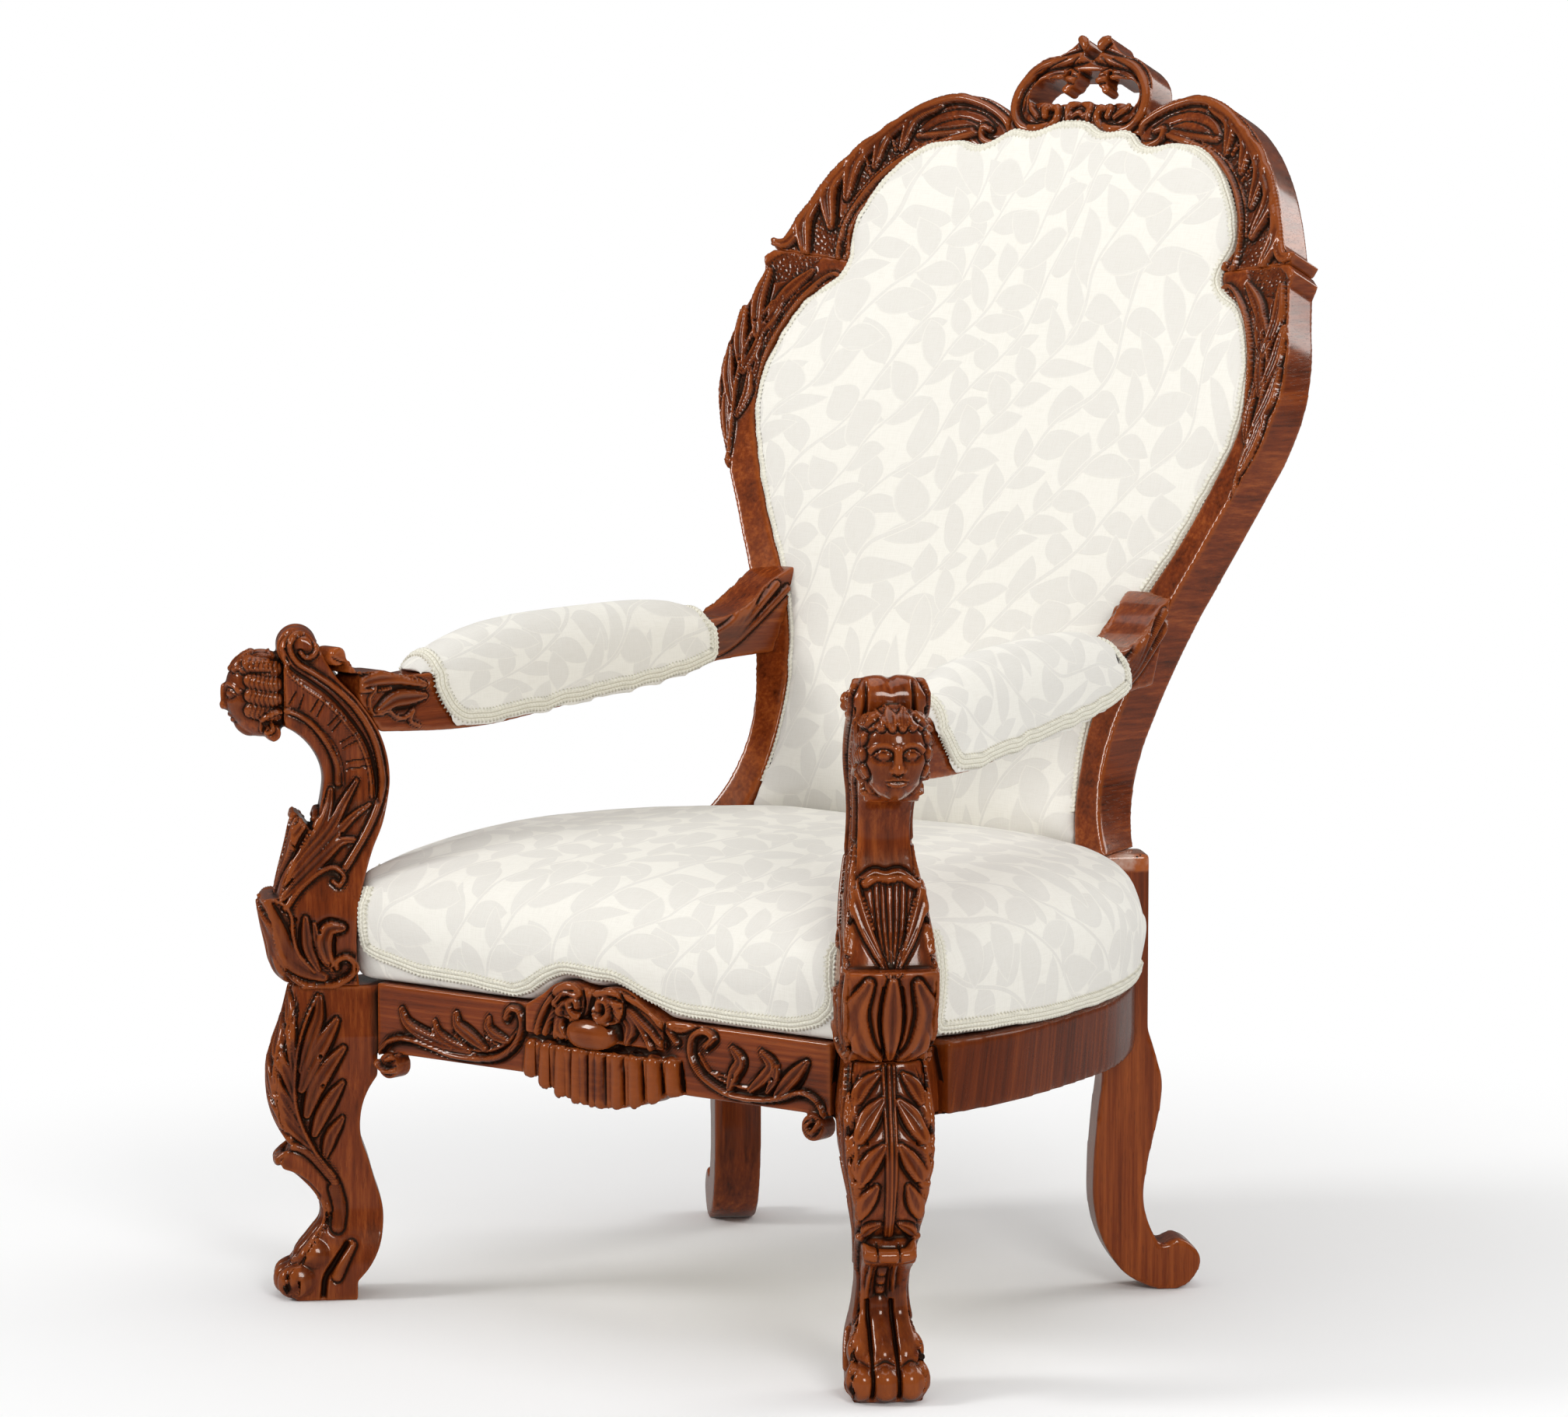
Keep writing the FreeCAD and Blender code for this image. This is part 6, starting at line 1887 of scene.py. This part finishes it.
def nearest_rows(places: np.ndarray, points: np.ndarray) -> np.ndarray:
    """The nearest of some points to each place.

    Args:
        places: The places.
        points: The points.

    Returns:
        Row numbers.
    """
    tree = KDTree(len(points))
    for number, point in enumerate(points):
        tree.insert(point, number)
    tree.balance()
    return np.array([tree.find(place)[1] for place in places])


def softened(values: np.ndarray, rounds: int, closed: bool) -> np.ndarray:
    """Evens out a run of rows.

    Args:
        values: The rows.
        rounds: How often.
        closed: Whether the last meets the first.

    Returns:
        The evened rows.
    """
    values = values.copy()
    for _ in range(rounds):
        if closed:
            values = (np.roll(values, 1, axis=0) + 2 * values + np.roll(values, -1, axis=0)) / 4
        else:
            values[1:-1] = (values[:-2] + 2 * values[1:-1] + values[2:]) / 4
    return values


SEAT_EDGE = (
    (-296, 340), (-282, 330), (-261, 321), (-212, 311), (-152, 309), (-120, 304), (-96, 301), (-77, 307),
    (-57, 321), (-34, 330), (0, 331), (24, 327), (46, 317), (66, 311), (100, 306), (156, 303), (223, 304),
    (256, 314), (272, 326), (280, 342),
)


@dataclass
class Upholstery:
    """The stuffed seat, back and arm pads, with the braid along their edges."""

    back: BackFrame = field(default_factory=BackFrame)
    arms: Arms = field(default_factory=Arms)
    gimp: Gimp = field(default_factory=Gimp)
    slim: Gimp = field(default_factory=lambda: Gimp(width=0.010, height=0.0028, wave=0.3, pitch=0.0048))
    big: float = 0.0078
    small: float = 0.0052
    pad_swell: float = 0.003
    nailed: Point = (0.322, 0.335)
    post_line: float = 0.640
    rear_line: float = 0.075
    seat_turn: float = 0.397
    seat_reach: Point = (0.36, 0.27)
    seat_middle: Point = (0.0, -0.11)
    seat_shift: Point = (0.3, 0.9)
    back_shift: float = 0.5
    pad_level: float = 0.575
    pad_round: float = 0.045
    pad_shift: Point = (0.5, 0.11)
    pad_apart: float = 0.2
    front_half: float = 0.280
    front_line: float = -0.385
    front_lift: float = 0.003
    inner_corner: Point = (0.2805, -0.40)
    inner_rise: Point = (0.352, 0.424)
    outer_corner: Point = (0.345, -0.3)
    outer_rise: Point = (0.424, 0.316)
    side_band: Point = (0.305, 0.314)
    side_level: float = 0.309
    side_run: Point = (-0.296, 0.098)
    side_near: float = 0.008
    side_out: float = 0.01
    back_middle: Point = (0.0, 0.38)
    back_foot: float = 0.005
    back_out: float = 0.42
    ahead: float = 0.2
    pad_end: float = 0.012
    pad_near: float = 0.006
    pad_half: float = 0.06
    pad_lift: float = 0.007
    pad_over: float = 0.02

    def build(self, shop: Workshop) -> None:
        """Stuffs and trims everything.

        Args:
            shop: The finishes.
        """
        seat = Cover("seat_cushion", self.big, 0.9, self._seat_held, self._seat_chart).build(shop)
        self._trim_seat(seat, shop)
        back = Cover("back_cushion", self.big, 0.85, self._back_held, self._back_chart).build(shop)
        self._trim_back(back, shop)
        for hand, side in SIDES.items():
            pad = Cover("arm_pad_" + side, self.small, 0.9, self._pad_held,
                        lambda places, hand=hand: self._pad_chart(places, hand), self.pad_swell).build(shop)
            self._trim_pad(pad, hand, shop)

    def _seat_held(self, surface: Surface) -> np.ndarray:
        """Where the seat's cloth is nailed or pressed: below, behind and at the posts."""
        x, y, z = np.abs(surface.place[:, 0]), surface.place[:, 1], surface.place[:, 2]
        low = 1 - smooth_step(z, *self.nailed)
        behind, under = y > self.rear_line, surface.normal[:, 2] < -0.6
        return np.clip(low + (x - y > self.post_line) + behind + under, 0, 1)

    def _seat_chart(self, places: np.ndarray) -> np.ndarray:
        """The seat's map: level on top, then down the sides."""
        drop = np.maximum(self.seat_turn - places[:, 2], 0)
        way = outward(places, self.seat_reach, self.seat_middle)
        return places[:, :2] + way * drop[:, None] + self.seat_shift

    def _back_held(self, surface: Surface) -> np.ndarray:
        """Where the back's cloth is held: all but its face."""
        return 1 - smooth_step(self.back.facing(surface.normal), 0.35, 0.6)

    def _back_chart(self, places: np.ndarray) -> np.ndarray:
        """The back's map: across, and up the rake."""
        flat, _ = self.back.flat(places)
        return np.stack((places[:, 0] + self.back_shift, flat[:, 1] * MM), axis=1)

    @staticmethod
    def _pad_held(surface: Surface) -> np.ndarray:
        """Where a pad's cloth is nailed: underneath."""
        return smooth_step(-surface.normal[:, 2], 0.1, 0.4)

    def _on_arm(self, places: np.ndarray, hand: int) -> tuple[np.ndarray, np.ndarray]:
        """Places along and across an arm.

        Args:
            places: Points.
            hand: 1 right, -1 left.

        Returns:
            How far along, and how far outward.
        """
        way, out = self.arms.axes()
        off = places[:, :2] * (hand, 1) - self.arms.front
        return off @ way, off @ out

    def _pad_chart(self, places: np.ndarray, hand: int) -> np.ndarray:
        """A pad's map: around it, and along it."""
        along, across = self._on_arm(places, hand)
        turn = np.arctan2(across, places[:, 2] - self.pad_level)
        around = turn * self.pad_round + self.pad_apart * hand + self.pad_shift[0]
        return np.stack((around, along + self.pad_shift[1]), axis=1)

    def _drape(self, piece: bpy.types.Object, guesses: np.ndarray, closed: bool, name: str,
               shop: Workshop) -> None:
        """Lays braid along the cover's places nearest to a line.

        Args:
            piece: The cover.
            guesses: The line's points.
            closed: Whether it is closed.
            name: The braid's name.
            shop: The finishes.
        """
        tree = tree_of(piece.data)
        found = [tree.find_nearest(Vector(guess)) for guess in guesses]
        points = softened(np.array([hit[0] for hit in found]), 3, closed)
        normals = softened(np.array([hit[1] for hit in found]), 12, closed)
        self.gimp.lay(name, points, unit(normals), closed, shop)

    def _trim_seat(self, seat: bpy.types.Object, shop: Workshop) -> None:
        """Trims the seat along the rails and up beside the posts.

        Args:
            seat: Its cover.
            shop: The finishes.
        """
        edge = np.array(SEAT_EDGE) * MM
        x = np.linspace(-self.front_half, self.front_half, 240)
        level = np.interp(x, edge[:, 0], edge[:, 1]) + self.front_lift
        front = np.stack((x, np.full(len(x), self.front_line), level), axis=1)
        up = upright(*self.inner_corner, np.linspace(*self.inner_rise, 30))
        self._drape(seat, np.vstack((up[::-1] * (-1, 1, 1), front, up)), False, "seat_gimp_front", shop)
        places = places_of(seat.data)
        low = places[(places[:, 2] > self.side_band[0]) & (places[:, 2] < self.side_band[1])]
        for hand, name in SIDES.items():
            y = np.linspace(*self.side_run, 180)
            wide = low[low[:, 0] * hand > 0]
            near = [wide[np.abs(wide[:, 1] - spot) < self.side_near, 0] for spot in y]
            reach = softened(np.array([np.abs(row).max() for row in near]), 8, False)
            reach = reach * hand + self.side_out * hand
            side = np.stack((reach, y, np.full(len(y), self.side_level)), axis=1)
            corner_x, corner_y = self.outer_corner
            post = upright(corner_x * hand, corner_y, np.linspace(*self.outer_rise, 40))
            self._drape(seat, np.vstack((post, side)), False, "seat_gimp_" + name, shop)

    def _trim_back(self, cover: bpy.types.Object, shop: Workshop) -> None:
        """Trims the back round its whole opening.

        Args:
            cover: Its cover.
            shop: The finishes.
        """
        node = solid_copy("back_cushion")
        places = places_of(node)
        pairs = np.array([tuple(edge.vertices) for edge in node.edges])
        steps = np.linspace(0, 1, 24)[:, None, None]
        dense = (places[pairs[:, 0]] * (1 - steps) + places[pairs[:, 1]] * steps).reshape(-1, 3)
        bpy.data.meshes.remove(node)
        flat = self.back.flat(dense)[0] * MM
        flat[:, 0] = dense[:, 0]
        line = softened(rim(flat, self.back_middle, 720), 4, True)
        way = np.roll(line, -1, axis=0) - np.roll(line, 1, axis=0)
        way /= np.hypot(way[:, 0], way[:, 1])[:, None]
        line += np.stack((way[:, 1], -way[:, 0]), axis=1) * self.slim.width * self.back_out
        line = line[line[:, 1] > self.back_foot]
        first = int(np.argmax(np.hypot(*(line - np.roll(line, 1, axis=0)).T)))
        line = np.roll(line, -first, axis=0)
        tree = tree_of(cover.data)
        s, c = math.sin(self.back.rake), math.cos(self.back.rake)
        y, z = self.back.foot
        points, normals = [], []
        for x, along in line:
            start = Vector((x, y + along * s - self.ahead * c, z + along * c + self.ahead * s))
            place, normal, _, _ = tree.ray_cast(start, Vector((0, c, -s)))
            if place is not None:
                points.append(place)
                normals.append(normal)
        points = softened(np.array(points), 4, False)
        normals = softened(np.array(normals), 20, False)
        self.slim.lay("back_gimp", points, unit(normals), False, shop)

    def _trim_pad(self, pad: bpy.types.Object, hand: int, shop: Workshop) -> None:
        """Trims an arm pad round its lower edge and over its ends.

        Args:
            pad: Its cover.
            hand: 1 right, -1 left.
            shop: The finishes.
        """
        places = places_of(pad.data)
        along, across = self._on_arm(places, hand)
        spots = np.linspace(along.min() + self.pad_end, along.max() - self.pad_end, 120)
        bands = [np.abs(along - spot) < self.pad_near for spot in spots]
        middle = np.array([across[band].mean() for band in bands])
        under = np.array([places[band, 2].min() for band in bands])
        over = np.array([places[band, 2].max() for band in bands])
        way, out = self.arms.axes()

        def spot_at(share_along: float, far: float, level: float) -> np.ndarray:
            """A point beside the pad."""
            flat = np.array(self.arms.front) + way * share_along + out * far
            return np.array((flat[0] * hand, flat[1], level))

        wide, lift = self.pad_half, self.pad_lift
        rows = list(zip(spots, middle, softened(under, 10, False)))
        outer = [spot_at(a, m + wide, u + lift) for a, m, u in rows]
        inner = [spot_at(a, m - wide, u + lift) for a, m, u in rows]
        arcs = []
        for row in (0, -1):
            tall = over[row] + self.pad_over - under[row]
            turns = np.linspace(0, math.pi, 40)[1:-1]
            arcs.append([spot_at(spots[row], middle[row] + wide * math.cos(turn),
                                 under[row] + lift + tall * math.sin(turn)) for turn in turns])
        loop = np.array(outer[::-1] + arcs[0] + inner + arcs[1][::-1])
        self._drape(pad, loop, True, "arm_gimp_" + SIDES[hand], shop)


# Studio

@dataclass
class Studio:
    """Pale floor, soft lights and the camera."""

    eye: tuple[float, float, float] = (3.3658, -4.3439, 1.1746)
    yaw: float = 38.347
    pitch: float = 6.550
    focal: float = 7529.96
    centre: tuple[float, float] = (1010.99, 912.05)
    image: tuple[int, int] = (2016, 1822)
    floor_radius: float = 9.0
    floor_tone: float = 0.93
    floor_rough: float = 0.85
    fade: Point = (0.6, 1.35)
    dim: float = 0.12
    dim_share: float = 0.7
    air: float = 0.45
    air_seen: float = 0.55
    air_mirrored: float = 0.35
    aim: tuple[float, float, float] = (0.0, 0.0, 0.55)
    lamps: tuple[tuple[str, tuple[float, float, float], float, float], ...] = (
        ("key", (-2.4, -2.9, 2.6), 1.1, 66.0),
        ("fill", (3.0, -2.2, 1.9), 1.1, 50.0),
        ("rear", (1.2, 2.9, 2.2), 1.8, 34.0),
        ("top", (0.0, -0.2, 3.6), 2.6, 34.0),
    )

    def build(self) -> None:
        """Makes floor, world, lights and camera."""
        self._floor()
        self._world()
        for row in self.lamps:
            self._lamp(*row)
        self._camera()
        LOG.info("studio stands")

    def _floor(self) -> None:
        """Makes the floor, which keeps the shadow near the chair and turns white far from it."""
        bm = bmesh.new()
        bmesh.ops.create_circle(bm, cap_ends=True, radius=self.floor_radius, segments=96)
        mesh = bpy.data.meshes.new("floor")
        bm.to_mesh(mesh)
        bm.free()
        floor = bpy.data.objects.new("floor", mesh)
        bpy.context.scene.collection.objects.link(floor)
        g, shader, material = surface("pale_floor")
        shader.inputs["Base Color"].default_value = (*[self.floor_tone] * 3, 1)
        shader.inputs["Roughness"].default_value = self.floor_rough
        where = g.add("ShaderNodeTexCoord").outputs["Object"]
        reach = g.add("ShaderNodeVectorMath", operation="LENGTH")
        g.feed(reach.inputs[0], where)
        far = g.term(reach.outputs["Value"]).step(*self.fade)
        rays = g.add("ShaderNodeLightPath")
        seen = g.term(rays.outputs["Is Camera Ray"])
        glow = g.add("ShaderNodeEmission")
        glow.inputs["Strength"].default_value = 1.0
        both = g.add("ShaderNodeMixShader")
        g.feed(both.inputs[0], far * seen)
        g.feed(both.inputs[1], shader.outputs[0])
        g.feed(both.inputs[2], glow.outputs[0])
        out = next(n for n in material.node_tree.nodes if n.type == "OUTPUT_MATERIAL")
        # Painted reflection: to glossy rays the floor shows mostly as a fixed dim glow, darker than its lit
        # colour.
        dim = g.add("ShaderNodeEmission")
        dim.inputs["Strength"].default_value = self.dim
        mirrored = g.add("ShaderNodeMixShader")
        g.feed(mirrored.inputs[0], g.term(rays.outputs["Is Glossy Ray"]) * self.dim_share)
        g.feed(mirrored.inputs[1], both.outputs[0])
        g.feed(mirrored.inputs[2], dim.outputs[0])
        g.feed(out.inputs["Surface"], mirrored.outputs[0])
        mesh.materials.append(material)

    def _world(self) -> None:
        """Makes the world: white to the camera, and a soft light elsewhere."""
        world = bpy.data.worlds.new("studio_air")
        world.use_nodes = True
        bpy.context.scene.world = world
        g = Graph(world.node_tree)
        back = world.node_tree.nodes["Background"]
        back.inputs["Color"].default_value = (1, 1, 1, 1)
        rays = g.add("ShaderNodeLightPath")
        seen, mirrored = g.term(rays.outputs["Is Camera Ray"]), g.term(rays.outputs["Is Glossy Ray"])
        g.feed(back.inputs["Strength"], seen * self.air_seen + self.air - mirrored * self.air_mirrored)

    def _lamp(self, name: str, place: tuple[float, float, float], size: float, power: float) -> None:
        """Hangs a soft square lamp that looks at the chair.

        Args:
            name: Its name.
            place: Where it hangs.
            size: Its side in metres.
            power: Its power in watts.
        """
        data = bpy.data.lights.new(name, "AREA")
        data.shape = "SQUARE"
        data.size = size
        data.energy = power
        lamp = bpy.data.objects.new(name, data)
        lamp.location = place
        lamp.rotation_euler = (Vector(self.aim) - Vector(place)).to_track_quat("-Z", "Y").to_euler()
        bpy.context.scene.collection.objects.link(lamp)

    def _camera(self) -> None:
        """Sets the camera as the photograph has it."""
        data = bpy.data.cameras.new("camera")
        data.sensor_width = 36.0
        data.lens = self.focal * data.sensor_width / self.image[0]
        data.shift_x = (self.image[0] / 2 - self.centre[0]) / self.image[0]
        data.shift_y = (self.centre[1] - self.image[1] / 2) / self.image[0]
        camera = bpy.data.objects.new("camera", data)
        camera.location = self.eye
        camera.rotation_euler = (math.radians(90 - self.pitch), 0.0, math.radians(self.yaw))
        bpy.context.scene.collection.objects.link(camera)
        bpy.context.scene.camera = camera


def main() -> None:
    """Builds the pieces in order and sets the studio."""
    logging.basicConfig(level=logging.INFO, format="%(message)s")
    scene = bpy.context.scene
    scene.view_settings.view_transform = "Standard"
    shop = Workshop()
    shop.dress_nodes()
    for pieces in (FrontPosts(), BackFrame(), FrontRail(), Arms(), PlainRails(), Upholstery()):
        pieces.build(shop)
    Studio().build()


if __name__ == "__main__":
    main()
